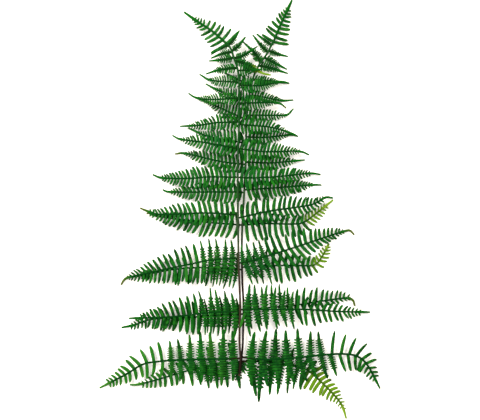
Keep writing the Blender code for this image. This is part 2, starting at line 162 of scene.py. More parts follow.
# %% [markdown]
# ## Floor and lights
# The floor is matt white card with a faint grain. It could be lit until it burns out, but then the
# leaves would too, so it glows a little of its own and the light stays soft: one large lamp at the upper
# left, as the photograph's shadows show, and two weaker ones to fill in. The far card comes out white,
# and only the ground close to the leaves shows a faint warm shadow.

# %% Floor, lights and view
CARD_SHADED, CARD_LIT = "#f9f0e8", "#fcf4ec"
CARD_GRAIN_SIZE = 10 / 9 * MILLIMETRE
CARD_ROUGHNESS, CARD_SPECULAR = 0.9, 0.1
FLOOR_SIZE = 40.0
FLOOR_GLOW = 0.27
FLOOR_GLOW_COLOUR = "#fefdf6"
ROOM_COLOUR = "#f7f8fa"
ROOM_LIGHT = 0.27


def floor_material():
    """Matt white card. Its faint warmth only shows where a leaf shades it."""
    material, tree, shader = new_material("white_card", CARD_ROUGHNESS, CARD_SPECULAR)
    place = add_node(tree, "ShaderNodeTexCoord").outputs["Object"]
    grain = add_node(tree, "ShaderNodeTexNoise", None, {"Vector": place, "Scale": 1 / CARD_GRAIN_SIZE})
    tint = add_node(tree, "ShaderNodeMix", {"data_type": "RGBA"},
                    {"Factor": grain.outputs["Fac"], 6: linear(CARD_SHADED), 7: linear(CARD_LIT)})
    tree.links.new(tint.outputs[2], shader.inputs["Base Color"])
    shader.inputs["Emission Color"].default_value = linear(FLOOR_GLOW_COLOUR)
    shader.inputs["Emission Strength"].default_value = FLOOR_GLOW
    return material


def add_softbox(name, place, size, power, colour):
    """A square area light that faces the middle of the frond."""
    data = bpy.data.lights.new(name, "AREA")
    data.shape = "SQUARE"
    data.size = size
    data.energy = power
    data.color = linear(colour)[:3]
    light = bpy.data.objects.new(name, data)
    light.location = place
    light.rotation_euler = (-light.location).to_track_quat("-Z", "Y").to_euler()
    bpy.context.scene.collection.objects.link(light)
    return light


bpy.ops.mesh.primitive_plane_add(size=FLOOR_SIZE)
floor = bpy.context.object
floor.name = "floor"
floor.data.materials.append(floor_material())

EXPOSURE = 0.30
# Name, place, size, power and colour of each lamp
SOFTBOXES = [
    ("softbox upper left", (-2.3, 1.7, 2.6), 1.5, 225.0, "#fffdf8"),
    ("softbox upper right", (2.4, 1.5, 2.4), 2.0, 55.0, "#fdfdff"),
    ("softbox low", (0.3, -2.8, 2.4), 2.2, 50.0, "#fffefc"),
]
for softbox in SOFTBOXES:
    add_softbox(*softbox)

world = bpy.data.worlds.new("pale room")
world.use_nodes = True
world.node_tree.nodes["Background"].inputs["Color"].default_value = linear(ROOM_COLOUR)
world.node_tree.nodes["Background"].inputs["Strength"].default_value = ROOM_LIGHT
bpy.context.scene.world = world
bpy.context.scene.view_settings.view_transform = "Standard"
bpy.context.scene.view_settings.exposure = EXPOSURE
print("stage: floor and", len(SOFTBOXES), "softboxes")

# %% [markdown]
# ## Living leaf
# A bracken leaflet is a thin, slightly waxy blade. It is a deep green that differs from leaflet to leaflet,
# and its wax gives a soft sheen. Painted shade darkens the groove over its midrib, the places between its
# lobes and its edges, a painted blue sheen lies over groups of leaflets, and the right stalk's leaflets,
# which lie under the left one's, and the lobed leaflets get darker copies of the material as painted shade.
# As it ages it goes yellow-green and then olive brown from the tip. A picture of a leaf could be laid on each
# leaflet, but it would repeat. Here the colour comes from numbers that each leaf carries, its tone, its age
# and where a point lies along and across it, so no two leaflets are the same.

# %% Leaf material
LEAF_DARK = "#003406"
# Painted shade: a near-black green laid into the groove over the midrib and between the lobes
LEAF_PAINTED_SHADE = "#001c04"
LEAF_MID = "#0b560e"
LEAF_LIGHT = "#287a1c"
# Painted sheen: a bluer green for groups of leaflets
LEAF_PAINTED_SHEEN = "#0f5a22"
LEAF_PALE = "#3b8220"
LEAF_YELLOW = "#587a12"
LEAF_OLIVE = "#465218"
MOTTLE_SIZE = 6 * MILLIMETRE            # cloudy lighter spots on a leaflet
MOTTLE_DETAIL = 3.0
MOTTLE_FROM, MOTTLE_TO = 0.45, 0.80     # noise values where the lighter green starts and is full
# Painted blue sheen over groups of leaflets
SHEEN_PATCH_SIZE = 40 * MILLIMETRE            # groups of leaflets that are a little bluer
SHEEN_PATCH_DETAIL = 1.0
SHEEN_PATCH_FROM, SHEEN_PATCH_TO, SHEEN_PATCH_MOST = 0.48, 0.80, 0.5
PALE_AT_RIB, PALE_AT_TIP = 0.4, 1.4     # the pale green grows from the rib to the leaflet's tip
# Painted shade between two lobes: from where it starts, and how dark it gets
NOTCH_SHADE_FROM, NOTCH_SHADE_DEPTH = 0.70, 0.65    # the dark notch between two lobes
# Painted shade along a leaflet's edges
RIM_SHADE_FROM, RIM_SHADE_MOST = 0.62, 0.5          # the darker edge, out from this share of the half width
VEIN_TURNS = 90.0                       # the wave of the veins along a leaflet, in radians: 14 veins
VEIN_HEIGHT = 0.25
LEAF_RELIEF = {"Strength": 0.3, "Distance": 0.4 * MILLIMETRE}
LEAF_SPECULAR = 0.06


def layer_colours(tree, colour, layers):
    """Lays colours over a first one, each by its own share from 0 to 1, and gives the last socket."""
    for share, over in layers:
        over = linear(over) if isinstance(over, str) else over
        mixer = add_node(tree, "ShaderNodeMix", {"data_type": "RGBA"},
                         {"Factor": share, 6: colour, 7: over})
        colour = mixer.outputs[2]
    return colour


def paint(tree, shader, colour, height, relief):
    """Gives the shader its colour, and the relief that the height makes."""
    bump = add_node(tree, "ShaderNodeBump", None, {**relief, "Height": height})
    tree.links.new(colour, shader.inputs["Base Color"])
    tree.links.new(bump.outputs["Normal"], shader.inputs["Normal"])


def leaf_material(name, value, roughness):
    """Fresh bracken lamina. value darkens or lightens the whole leaf, and a value below 1 is painted shade.
    """
    material, tree, shader = new_material(name, roughness, LEAF_SPECULAR)
    own = {}
    for label in ("tone", "age", "olive", "pale", "crease_shade", "along", "across", "lobe"):
        own[label] = add_node(tree, "ShaderNodeAttribute", {"attribute_name": label}).outputs["Fac"]
    place = add_node(tree, "ShaderNodeTexCoord").outputs["Object"]
    mottle = add_node(tree, "ShaderNodeTexNoise", None,
                      {"Vector": place, "Scale": 1 / MOTTLE_SIZE, "Detail": MOTTLE_DETAIL}).outputs["Fac"]
    # Painted blue sheen, in groups of leaflets
    sheen_patches = add_node(tree, "ShaderNodeTexNoise", None,
                       {"Vector": place, "Scale": 1 / SHEEN_PATCH_SIZE, "Detail": SHEEN_PATCH_DETAIL}).outputs["Fac"]
    bright = add_node(tree, "ShaderNodeMapRange", None,
                      {"Value": mottle, "From Min": MOTTLE_FROM, "From Max": MOTTLE_TO})
    painted_sheen = add_node(tree, "ShaderNodeMapRange", None,
                      {"Value": sheen_patches, "From Min": SHEEN_PATCH_FROM, "From Max": SHEEN_PATCH_TO,
                       "To Max": SHEEN_PATCH_MOST})
    tipwards = add_node(tree, "ShaderNodeMapRange", None,
                        {"Value": own["along"], "To Min": PALE_AT_RIB, "To Max": PALE_AT_TIP})
    paler = add_node(tree, "ShaderNodeMath", {"operation": "MULTIPLY", "use_clamp": True},
                     {0: own["pale"], 1: tipwards.outputs[0]})
    # Painted shade between the lobes, darkest where two lobes meet
    half_turns = add_node(tree, "ShaderNodeMath", {"operation": "MULTIPLY"}, {0: own["lobe"], 1: math.pi})
    wave = add_node(tree, "ShaderNodeMath", {"operation": "SINE"}, {0: half_turns.outputs[0]})
    ridge = add_node(tree, "ShaderNodeMath", {"operation": "ABSOLUTE"}, {0: wave.outputs[0]})
    painted_notch_shade = add_node(tree, "ShaderNodeMapRange", None,
                     {"Value": ridge.outputs[0], "From Min": NOTCH_SHADE_FROM, "To Max": NOTCH_SHADE_DEPTH})
    # Painted shade along the edges, where the blade turns down
    outwards = add_node(tree, "ShaderNodeMath", {"operation": "ABSOLUTE"}, {0: own["across"]})
    rim = add_node(tree, "ShaderNodeMapRange", None,
                   {"Value": outwards.outputs[0], "From Min": RIM_SHADE_FROM, "To Max": RIM_SHADE_MOST})
    colour = layer_colours(tree, linear(LEAF_DARK), [
        (own["tone"], LEAF_MID),
        (bright.outputs[0], LEAF_LIGHT),
        # Painted blue sheen
        (painted_sheen.outputs[0], LEAF_PAINTED_SHEEN),
        (paler.outputs[0], LEAF_PALE),
        # Painted shade: in the groove over the midrib, between the lobes and along the edges
        (own["crease_shade"], LEAF_PAINTED_SHADE),
        (painted_notch_shade.outputs[0], LEAF_PAINTED_SHADE),
        (rim.outputs[0], LEAF_DARK),
        (own["age"], LEAF_YELLOW),
        (own["olive"], LEAF_OLIVE),
    ])
    # A value below 1 darkens the whole leaf as painted shade
    shaded = add_node(tree, "ShaderNodeHueSaturation", None, {"Value": value, "Color": colour})
    turns = add_node(tree, "ShaderNodeMath", {"operation": "MULTIPLY"}, {0: own["along"], 1: VEIN_TURNS})
    veins = add_node(tree, "ShaderNodeMath", {"operation": "SINE"}, {0: turns.outputs[0]})
    height = add_node(tree, "ShaderNodeMath", {"operation": "MULTIPLY_ADD"},
                      {0: veins.outputs[0], 1: VEIN_HEIGHT, 2: mottle})
    paint(tree, shader, shaded.outputs["Color"], height.outputs[0], LEAF_RELIEF)
    return material


leaf_upper = leaf_material("bracken_lamina_upper", value=1.0, roughness=0.42)
# Darker copies as painted shade: for the right stalk's leaflets, which lie under the left one's, and for the
# lobed leaflets
leaf_lower_painted_shade = leaf_material("bracken_lamina_lower_painted_shade", value=0.90, roughness=0.46)
leaf_lobed_painted_shade = leaf_material("bracken_lamina_lobed_painted_shade", value=0.90, roughness=0.44)
print("leaf materials:", leaf_upper.name, leaf_lower_painted_shade.name, leaf_lobed_painted_shade.name)

# %% [markdown]
# ## Stalk
# The stalk is smooth, hard and faintly streaked. It is purple-brown by the cut foot, grey-green further
# up and dark green by the crown. It could be cut into three parts with a colour each, but the colours
# flow into each other on the plant, so one material reads how far up the frond a point lies. The streaks
# are noise that is stretched along the stalk.

# %% Stalk material
GREYING_START_Y, GREYING_END_Y = -0.120, -0.050
GREENING_START_Y, GREENING_END_Y = -0.030, 0.100
DARK_START_Y, DARK_END_Y = -0.235, -0.270
STALK_GREY_GREEN = "#263a20"
STALK_GREEN = "#0a3d0e"
STALK_FOOT = "#170b08"
CUT_WOOD = "#4a3226"
FOOT_DARKNESS = 0.8
STREAK_WIDTH = 0.625 * MILLIMETRE
STREAK_STRETCH = (1.0, 0.06, 1.0)
STREAK_DETAIL = 2.0
STALK_RELIEF = {"Strength": 0.4, "Distance": 0.2 * MILLIMETRE}
STALK_ROUGHNESS, STALK_SPECULAR = 0.50, 0.07


def stalk_material(name, brown, streak):
    """Hard, smooth stalk skin with fine long streaks, brown at the foot and green at the crown."""
    material, tree, shader = new_material(name, STALK_ROUGHNESS, STALK_SPECULAR)
    place = add_node(tree, "ShaderNodeTexCoord").outputs["Object"]
    stretch = add_node(tree, "ShaderNodeMapping", None, {"Vector": place, "Scale": STREAK_STRETCH})
    streaks = add_node(tree, "ShaderNodeTexNoise", None,
                       {"Vector": stretch.outputs["Vector"], "Scale": 1 / STREAK_WIDTH,
                        "Detail": STREAK_DETAIL}).outputs["Fac"]
    up = add_node(tree, "ShaderNodeSeparateXYZ", None, {"Vector": place}).outputs["Y"]
    greyer = add_node(tree, "ShaderNodeMapRange", None,
                      {"Value": up, "From Min": GREYING_START_Y, "From Max": GREYING_END_Y})
    greener = add_node(tree, "ShaderNodeMapRange", None,
                       {"Value": up, "From Min": GREENING_START_Y, "From Max": GREENING_END_Y})
    darker = add_node(tree, "ShaderNodeMapRange", None,
                      {"Value": up, "From Min": DARK_START_Y, "From Max": DARK_END_Y,
                       "To Max": FOOT_DARKNESS})
    cut = add_node(tree, "ShaderNodeAttribute", {"attribute_name": "cut"})
    colour = layer_colours(tree, linear(brown), [
        (streaks, streak),
        (darker.outputs[0], STALK_FOOT),
        (greyer.outputs[0], STALK_GREY_GREEN),
        (greener.outputs[0], STALK_GREEN),
        (cut.outputs["Fac"], CUT_WOOD),
    ])
    paint(tree, shader, colour, streaks, STALK_RELIEF)
    return material


stalk_left_skin = stalk_material("stalk_mauve_brown", brown="#20150f", streak="#3d2e23")
stalk_right_skin = stalk_material("stalk_purple_brown", brown="#140a08", streak="#2c1a15")
print("stalk materials:", stalk_left_skin.name, stalk_right_skin.name)

# %% [markdown]
# ## Rib
# A rib is a thin stalk in dark green, brown where it leaves the stalk in the lowest rows. Towards the
# bare tail the blade runs down along it, so it turns leaf green there, or yellow and olive on an old
# side frond. It could be the leaf's own material, but a rib is darker and has no veins, so it has its
# own, which reads the same numbers.

# %% Rib material
RIB_DARK, RIB_MID = "#022a08", "#05390d"
RIB_BROWN, RIB_OLD, RIB_OLIVE = "#1a0d08", "#34540a", "#46511b"
TAIL_GREEN, TAIL_PALE, TAIL_OLD = "#0b4f0e", "#3a6f1e", "#688620"
RIB_MOTTLE_SIZE = 10 / 3 * MILLIMETRE
RIB_RELIEF = {"Strength": 0.3, "Distance": 0.2 * MILLIMETRE}
RIB_ROUGHNESS, RIB_SPECULAR = 0.65, 0.02


def rib_material(name):
    """Rib skin: dark green, brown at the foot of the lowest side fronds, yellow or olive at old tails."""
    material, tree, shader = new_material(name, RIB_ROUGHNESS, RIB_SPECULAR)
    own = {}
    for label in ("brown", "leafy", "pale", "age", "olive"):
        own[label] = add_node(tree, "ShaderNodeAttribute", {"attribute_name": label}).outputs["Fac"]
    place = add_node(tree, "ShaderNodeTexCoord").outputs["Object"]
    mottle = add_node(tree, "ShaderNodeTexNoise", None,
                      {"Vector": place, "Scale": 1 / RIB_MOTTLE_SIZE}).outputs["Fac"]
    tail = layer_colours(tree, linear(TAIL_GREEN), [
        (own["pale"], TAIL_PALE),
        (own["age"], TAIL_OLD),
    ])
    colour = layer_colours(tree, linear(RIB_DARK), [
        (mottle, RIB_MID),
        (own["brown"], RIB_BROWN),
        (own["age"], RIB_OLD),
        (own["leafy"], tail),
        (own["olive"], RIB_OLIVE),
    ])
    paint(tree, shader, colour, mottle, RIB_RELIEF)
    return material


rib_skin = rib_material("bracken_rib")
print("rib material:", rib_skin.name)


# %% [markdown]
# ## What a side frond is
# A side frond is a rib with leaflets on both sides. It could be modelled leaflet by leaflet, but there
# are 54 of them, so each is told by a few numbers. The leaflet lengths are read at the stalk, a quarter,
# half and three quarters of the way out, and at the last leaflet, and the spacing at the same places.
# The short side fronds of the upper rows are so alike that two lengths and one spacing say it all.

# %% The numbers of one side frond, in grid steps
@dataclass
class SideFrond:
    """One side frond: its line, the sheet it lies in, and its leaflets."""

    sheet: int                  # the sheet it lies in, which also says its stalk
    line: list
    crown_side: tuple           # leaflet lengths on the side towards the crown
    foot_side: tuple            # leaflet lengths on the side towards the foot
    spacing: tuple
    lobed: float = 0.0          # lobed leaflets reach this share of the way out
    lean: tuple = (6, 26, 4, 16)    # outward lean in degrees: crown side near and far, then foot side
    rests: bool = False         # its tail bends down to the surface
    yellow: float = 2.0         # leaflets past this share of the way out are yellow-green
    pale: float = 0.0           # how light the green of its outer leaflets is
    olive_tail: bool = False
    tail: float = 0.0           # its bare tail in grid steps, where that isn't the usual one
    deep: bool = False          # its lobed leaflets are cut deep
    fullness: float = 1.0       # how wide its lobed leaflets are
    strap: tuple = (0.69, 3.5)  # width of a plain leaflet: share of the spacing, and the most in grid steps
    brown_root: bool = False
    blade: float = 0.0          # half width of the blade along its rib, where that is wider than the rib
    bare: float = 0.0           # more bare rib by the stalk than usual, in grid steps

    @property
    def on_left_stalk(self):
        return self.sheet >= FIRST_LEFT_SHEET


SHORT_ROW_FULLNESS = 1.18
SHORT_ROW_SPACING = 0.92
SHORT_ROW_STEPS = (1.0, 0.97, 0.9, 0.78, 0.6)   # how the spacing shrinks on the way out
SHORT_ROW_FALL = (0.82, 0.30)   # leaflet length three quarters of the way out, and at the last leaflet
SHORT_STRAP = (0.81, 3.4)
SMALL_STRAP = (0.90, 3.4)
SMALL_ROW = 5.5                 # rows with leaflets shorter than this have small, full blades
SMALL_BLADE = 0.0023
INNER_REACH = 1.35              # rows that cross the gap between the stalks start with longer leaflets


def short_row(sheet, line, near, far, spacing, inner, more=None):
    """A short side frond, whose leaflets keep their length for most of the way and then shrink."""
    near *= SHORT_ROW_FULLNESS * inner
    far *= SHORT_ROW_FULLNESS
    lengths = (near, near, (near + far) / 2, *[far * share for share in SHORT_ROW_FALL])
    steps = tuple(spacing * SHORT_ROW_SPACING * share for share in SHORT_ROW_STEPS)
    small = near < SMALL_ROW
    return SideFrond(sheet, line, lengths, lengths, steps, strap=SMALL_STRAP if small else SHORT_STRAP,
                     blade=SMALL_BLADE if small else 0.0, **(more or {}))


def short_rows(sheets, rows, crossing=()):
    """Short side fronds from the lowest one up, which lie in the two sheets by turns. Each row is a
    line, the leaflet lengths near the stalk and further out, the spacing, and any other values by
    name. The rows at the places in crossing cross the gap between the stalks."""
    made = []
    for place, (line, near, far, spacing, *more) in enumerate(rows):
        inner = INNER_REACH if place in crossing else 1.0
        made.append(short_row(sheets[place % 2], line, near, far, spacing, inner, *more))
    return made


print("a side frond is told by", ", ".join(SideFrond.__dataclass_fields__))

# %% [markdown]
# ## How the frond grows
# Two stalks rise from the foot and part at the top, and side fronds stand on both sides of each. Every one is
# a smooth line through a few points, drawn over the photograph from its stalk to its tail. A rule could space
# them evenly, but a real frond isn't even, so each has its own line.

# %% The two stalks and every side frond, in grid steps
LEFT_STALK = [
    (239.4, 372), (240.5, 358), (239.7, 347), (239.5, 330), (240.2, 305), (238.7, 263), (238, 218),
    (237.8, 165), (239, 125), (239, 86), (238, 72), (235, 62), (231, 50), (227, 44),
]
RIGHT_STALK = [
    (239.3, 375.5), (241, 362), (242.6, 347), (243.1, 330), (243.6, 307), (242.1, 274), (242, 235),
    (244, 195), (246, 155), (246.5, 120), (251, 86), (258, 67), (267, 54), (272.5, 43), (275, 38),
]
SIDE_FRONDS = [
    # From the left stalk, to the left
    SideFrond(2, [(240.4, 358), (220, 358.5), (182, 359.5), (160, 361), (143, 364), (128, 373),
                  (110, 382.5), (99.5, 388)],
              (30, 30, 21, 13.5, 4.5), (25, 26, 18, 13, 4.5), (11, 10.7, 8.9, 6.4, 3.2),
              lobed=0.54, deep=True, fullness=1.06, strap=(0.64, 3.6), lean=(-4, 12, -4, 14), rests=True,
              pale=0.55, blade=0.0018, brown_root=True),
    SideFrond(3, [(239.6, 310), (210, 312), (170, 316.5), (129, 318)],
              (19, 24, 19, 13, 4), (25, 22, 19, 12, 4), (8.5, 7.2, 5.6, 4.8, 3.2), lobed=0.40, fullness=1.08,
              strap=(0.66, 3.3), lean=(-2, 20, 0, 14)),
    SideFrond(2, [(238.6, 258), (210, 260), (190, 264), (150, 272.5), (132, 276.5), (125, 279), (121, 285)],
              (17, 21, 18, 12, 3), (31, 22, 19, 12, 3), (7.4, 6.8, 5.6, 4.5, 2.8), lobed=0.34,
              fullness=1.12, strap=(0.66, 3.4), lean=(-6, 28, 6, 14), olive_tail=True),
    SideFrond(3, [(238, 214), (205, 213), (165, 214.5), (153, 213), (140, 208)],
              (13, 14, 13, 9, 3.5), (14, 14, 12, 10, 4), (5.6, 5.2, 4.8, 4, 2.9), olive_tail=True),
    *short_rows((2, 3), rows=[
        ([(238, 176.5), (210, 177), (190, 178.5), (163, 178), (152.5, 174.5)], 10.5, 9, 4.7),
        ([(239, 148), (206, 143), (181, 139.5), (172.5, 135.5)], 8.5, 7, 4.2),
        ([(239, 123.5), (218, 123), (199, 125.5), (180, 126.5)], 7.5, 6, 3.8),
        ([(239, 100), (212, 100), (196, 98), (188.5, 93.5)], 6, 4.8, 2.9),
        ([(239, 83.5), (225, 82), (210, 80.5), (199.5, 74.5)], 5.5, 4.6, 2.8),
        ([(237, 68.5), (220, 70.5), (206, 74.5)], 4.5, 3.8, 2.5),
        ([(234, 58.5), (226, 60), (209, 61.5)], 4, 3.2, 2.3),
        ([(231.8, 53), (222, 54.5), (211, 59)], 3.2, 2.2, 2.0),
        ([(228.5, 46), (219, 50), (211, 55)], 2.4, 1.6, 1.8),
    ]),
    # From the left stalk, to the right
    SideFrond(2, [(240.6, 356.5), (262, 359), (290, 358), (330, 354), (348, 354), (359, 357),
                  (368, 366), (380, 388.5)],
              (29, 33, 27, 17, 3.5), (28, 30, 25, 16, 4), (12.2, 12.0, 10.4, 7, 3.6),
              lobed=0.60, deep=True, fullness=1.04, strap=(0.58, 3.4), lean=(-3, 14, 4, 14), rests=True,
              brown_root=True, bare=3.0, blade=0.0018),
    SideFrond(3, [(239.8, 309.5), (270, 309), (305, 309), (335, 311), (370, 312)],
              (24, 22, 15, 9.5, 3), (26, 22, 18, 12.5, 4), (9.2, 8.8, 6.5, 5.2, 3.2), lobed=0.44,
              fullness=1.04, strap=(0.60, 3.3), lean=(0, 22, 2, 22)),
    SideFrond(2, [(238.8, 264), (255, 259.5), (300, 245.5), (330, 235.5), (345, 231), (350, 230.5),
                  (354, 235)],
              (18, 19, 17, 12, 3), (22, 20, 18, 9, 3), (7.2, 6.8, 6, 4.6, 3.2), lobed=0.28, fullness=1.08,
              lean=(-8, 14, 14, 28), olive_tail=True, tail=13),
    SideFrond(3, [(238, 217), (270, 211), (310, 205), (325, 197.5), (333, 198)],
              (14, 15, 13, 10, 3), (12, 13, 12, 9, 3), (5.6, 5.3, 5, 4.2, 3)),
    *short_rows((2, 3), crossing=range(1, 6), rows=[
        ([(238, 179), (252, 178), (280, 176.5), (309, 173.5), (320.5, 174.5)], 9.5, 8, 4.7),
        ([(239, 149.5), (266, 152), (298, 151.5), (309, 155)], 7.8, 6.6, 4.2),
        ([(239, 125), (270, 127.5), (290, 133), (297, 136)], 6.4, 5.4, 3.7),
        ([(239, 104), (270, 103), (280, 104), (286, 108.5)], 5.2, 4.4, 2.9, {"olive_tail": True}),
        ([(239, 86.5), (262, 86), (280, 82), (289.5, 83.5)], 5, 4.2, 2.7),
        ([(237.6, 71), (248, 71), (262, 70)], 4.5, 3.6, 2.5),
        ([(235.6, 61), (247, 65.5), (262, 73.5), (271, 75.5)], 4, 3.4, 2.3, {"yellow": 0.55}),
        ([(234.4, 58.5), (243, 56.5), (257.5, 47)], 3.8, 2.8, 2.2),
        ([(231.6, 52), (238, 47), (245.5, 37.5)], 3.2, 2.2, 2.0),
        ([(228.4, 46), (234, 40), (239.5, 31)], 2.8, 1.8, 1.8),
    ]),
    # From the right stalk, to the right
    SideFrond(0, [(241, 361), (262, 361.5), (290, 365), (305, 369), (313, 374.5), (326, 386.5), (338, 399.5),
                  (343, 408), (346.2, 418.5)],
              (22, 21, 14, 10, 3), (41, 34, 21, 11, 2.5), (10.8, 9.4, 5.6, 4.6, 3.0),
              lobed=0.48, deep=True, fullness=1.18, strap=(0.84, 4.3), lean=(4, 14, 0, 10), rests=True,
              yellow=0.55, brown_root=True, bare=3.5, blade=0.0017),
    SideFrond(1, [(243.5, 308), (260, 308), (297, 304.5), (335, 299), (348, 298), (353, 300.5), (354.5, 306)],
              (24, 22, 18, 12, 4.5), (22, 19, 13, 8, 3), (8.5, 8, 7, 5, 3.6), lobed=0.42, fullness=1.04,
              strap=(0.60, 3.3), lean=(-4, 14, 4, 24), olive_tail=True),
    SideFrond(0, [(242, 266), (270, 265.5), (300, 265.5), (314, 265), (321, 258), (329, 243.5)],
              (17, 17, 13, 8, 3.5), (20, 20, 16.5, 10, 4.5), (6.6, 6.3, 5.8, 4.4, 3.2), lobed=0.26,
              fullness=1.08, lean=(2, 12, 4, 24), yellow=0.72, tail=3.5),
    SideFrond(1, [(242.3, 224), (265, 223.5), (290, 224), (303, 222.5), (316, 213.5), (333, 200)],
              (12, 12, 10, 8, 3.5), (16, 16, 14, 10, 4), (5.9, 5.9, 5.6, 4.2, 3.2), yellow=0.70),
    *short_rows((0, 1), rows=[
        ([(244.3, 190), (280, 187.5), (310, 185), (321.5, 185)], 9.5, 8, 4.8),
        ([(246, 161.5), (270, 163), (305, 160)], 7.4, 6.2, 4.3),
        ([(246.2, 138), (265, 137.5), (290, 135), (298, 136.5)], 6.8, 5.6, 3.9),
        ([(247, 115.5), (275, 115.5), (287, 115), (293.5, 108.5)], 5.8, 4.8, 3.5),
        ([(249.6, 95), (262, 97), (280, 100.5), (293.5, 100)], 5.2, 4.4, 2.8),
        ([(252.6, 80), (268, 81.5), (289, 83.5)], 4.6, 3.8, 2.6),
        ([(258.5, 66), (270, 68), (288, 73.5)], 4.2, 3.4, 2.4),
        ([(264, 57.5), (272, 62), (287, 69.5)], 3.9, 3.0, 2.2),
        ([(268.7, 51), (277, 54), (288, 56.5)], 3.0, 2.0, 1.9),
    ]),
    # From the right stalk, to the left
    SideFrond(1, [(241, 361), (205, 366), (186, 371), (150, 381.5), (136, 384.5), (130, 384.5)],
              (21, 20, 14, 9, 3), (26, 25, 15, 10.5, 4.5), (10.4, 9.2, 6.9, 5, 3.5),
              lobed=0.45, deep=True, fullness=1.12, strap=(0.66, 3.6), lean=(6, 16, -6, 10), pale=0.5,
              brown_root=True),
    SideFrond(0, [(243.4, 314), (190, 317), (153, 319), (134, 325), (121.5, 327.5)],
              (18, 18, 15, 10, 3), (21, 19, 16, 12, 4), (8.5, 7.0, 5.2, 4.4, 3.2), lobed=0.38, fullness=0.86,
              strap=(0.64, 3.1), lean=(0, 22, 2, 16)),
    SideFrond(1, [(242, 269), (215, 267.5), (180, 268.5), (140, 275.5), (129, 277)],
              (16, 16, 13, 9, 3), (22, 19, 16, 11, 3), (7.2, 6.6, 5.6, 4.5, 2.9), lobed=0.30,
              fullness=0.90, strap=(0.62, 3.2), lean=(0, 28, 4, 14)),
    SideFrond(0, [(242.3, 226), (200, 221.5), (160, 216.5), (147, 212.5)],
              (13, 13, 11, 8, 3), (16, 16, 15.5, 11, 4), (5.9, 5.6, 5.3, 4.4, 3), lean=(8, 26, 10, 22)),
    *short_rows((1, 0), crossing=range(2, 7), rows=[
        ([(244.2, 193.5), (230, 192), (173, 192), (162.5, 189.5)], 10, 8.4, 4.8),
        ([(245.6, 165.5), (220, 161.5), (186, 153.5), (175, 154)], 8.4, 7, 4.4, {"olive_tail": True}),
        ([(246, 143), (210, 137), (188, 128)], 7.2, 6, 4.0),
        ([(246.5, 121), (222, 109), (197, 98)], 6.4, 5.2, 3.6),
        ([(248.6, 103), (219, 91), (205.5, 84)], 5.6, 4.6, 3.0),
        ([(251, 86), (238, 80), (224, 73)], 5, 4, 2.7),
        ([(255.2, 73), (246, 66), (236, 59)], 4.2, 3.2, 2.4),
        ([(260.6, 63), (256, 55), (243, 42)], 4.2, 3.0, 2.2),
        ([(267.8, 52.5), (261, 46), (252.5, 35)], 3.2, 2.0, 2.0),
        ([(271.6, 45), (264, 40), (256.5, 34)], 2.6, 1.6, 1.8),
    ]),
]
CROWNS = [
    SideFrond(2, [(229.5, 47.5), (222, 40), (210, 30), (196, 21), (184, 12)],
              (17, 13, 10, 7, 3.4), (18, 13.5, 11.5, 7.4, 3), (5.6, 5.2, 4.7, 3.8, 2.6), strap=(0.70, 3.2),
              lean=(-4, 2, 8, 32), tail=13.5, rests=True),
    SideFrond(0, [(272.2, 45.5), (274.6, 39), (280, 26), (286, 13), (292, 0)],
              (14, 12.5, 10, 7, 3.6), (16.5, 13, 10.5, 7, 4), (5.1, 4.9, 4.5, 3.7, 2.8), strap=(0.73, 3.3),
              lean=(8, 27, 0, 10), tail=10.5, rests=True),
]
CROWN_SHEETS = (LEFT_STALK_SHEET, RIGHT_STALK_SHEET)
print("layout:", len(SIDE_FRONDS), "side fronds and", len(CROWNS), "crowns")


# %% [markdown]
# ## Lines and heights
# A stalk or rib bends smoothly, so a line through a handful of points is made smooth, and can then be
# read at any distance along it. Side fronds that lie on a table overlap. Each could be given
# its own height, but then leaves could cut through each other. One formula gives all the heights: four
# sheets, one above the other, that arch over the middle of the frond together.

# %% Smooth lines and the height of each sheet
def smooth_step(low, high, value):
    """0 up to low, 1 from high on, and a soft rise between them."""
    share = np.clip((value - low) / (high - low), 0.0, 1.0)
    return share * share * (3.0 - 2.0 * share)


def mix(start, end, share):
    """The value this share of the way from start to end."""
    return start + (end - start) * share


def half_width(y):
    """Half the frond's width at a height along it."""
    share = np.clip((y - WIDEST_Y) / (NARROWEST_Y - WIDEST_Y), 0.0, 1.0)
    return mix(HALF_WIDTH_LOW, HALF_WIDTH_HIGH, share)


def sheet_height(x, y, sheet):
    """Height of a sheet over the surface, as in the solid model."""
    out = np.abs(x) / half_width(y)
    arch = 1.0 - smooth_step(0.0, 1.0, out)
    arch = arch * smooth_step(FOOT_END_Y, ARCH_START_Y, y)
    arch = arch * (1.0 - smooth_step(ARCH_STOP_Y, CROWN_END_Y, y))
    gap = SHEET_GAP * (1.0 - EDGE_CLOSING * smooth_step(EDGE_FROM, EDGE_TO, out))
    return LOWEST_SHEET + ARCH_HEIGHT * arch + gap * sheet


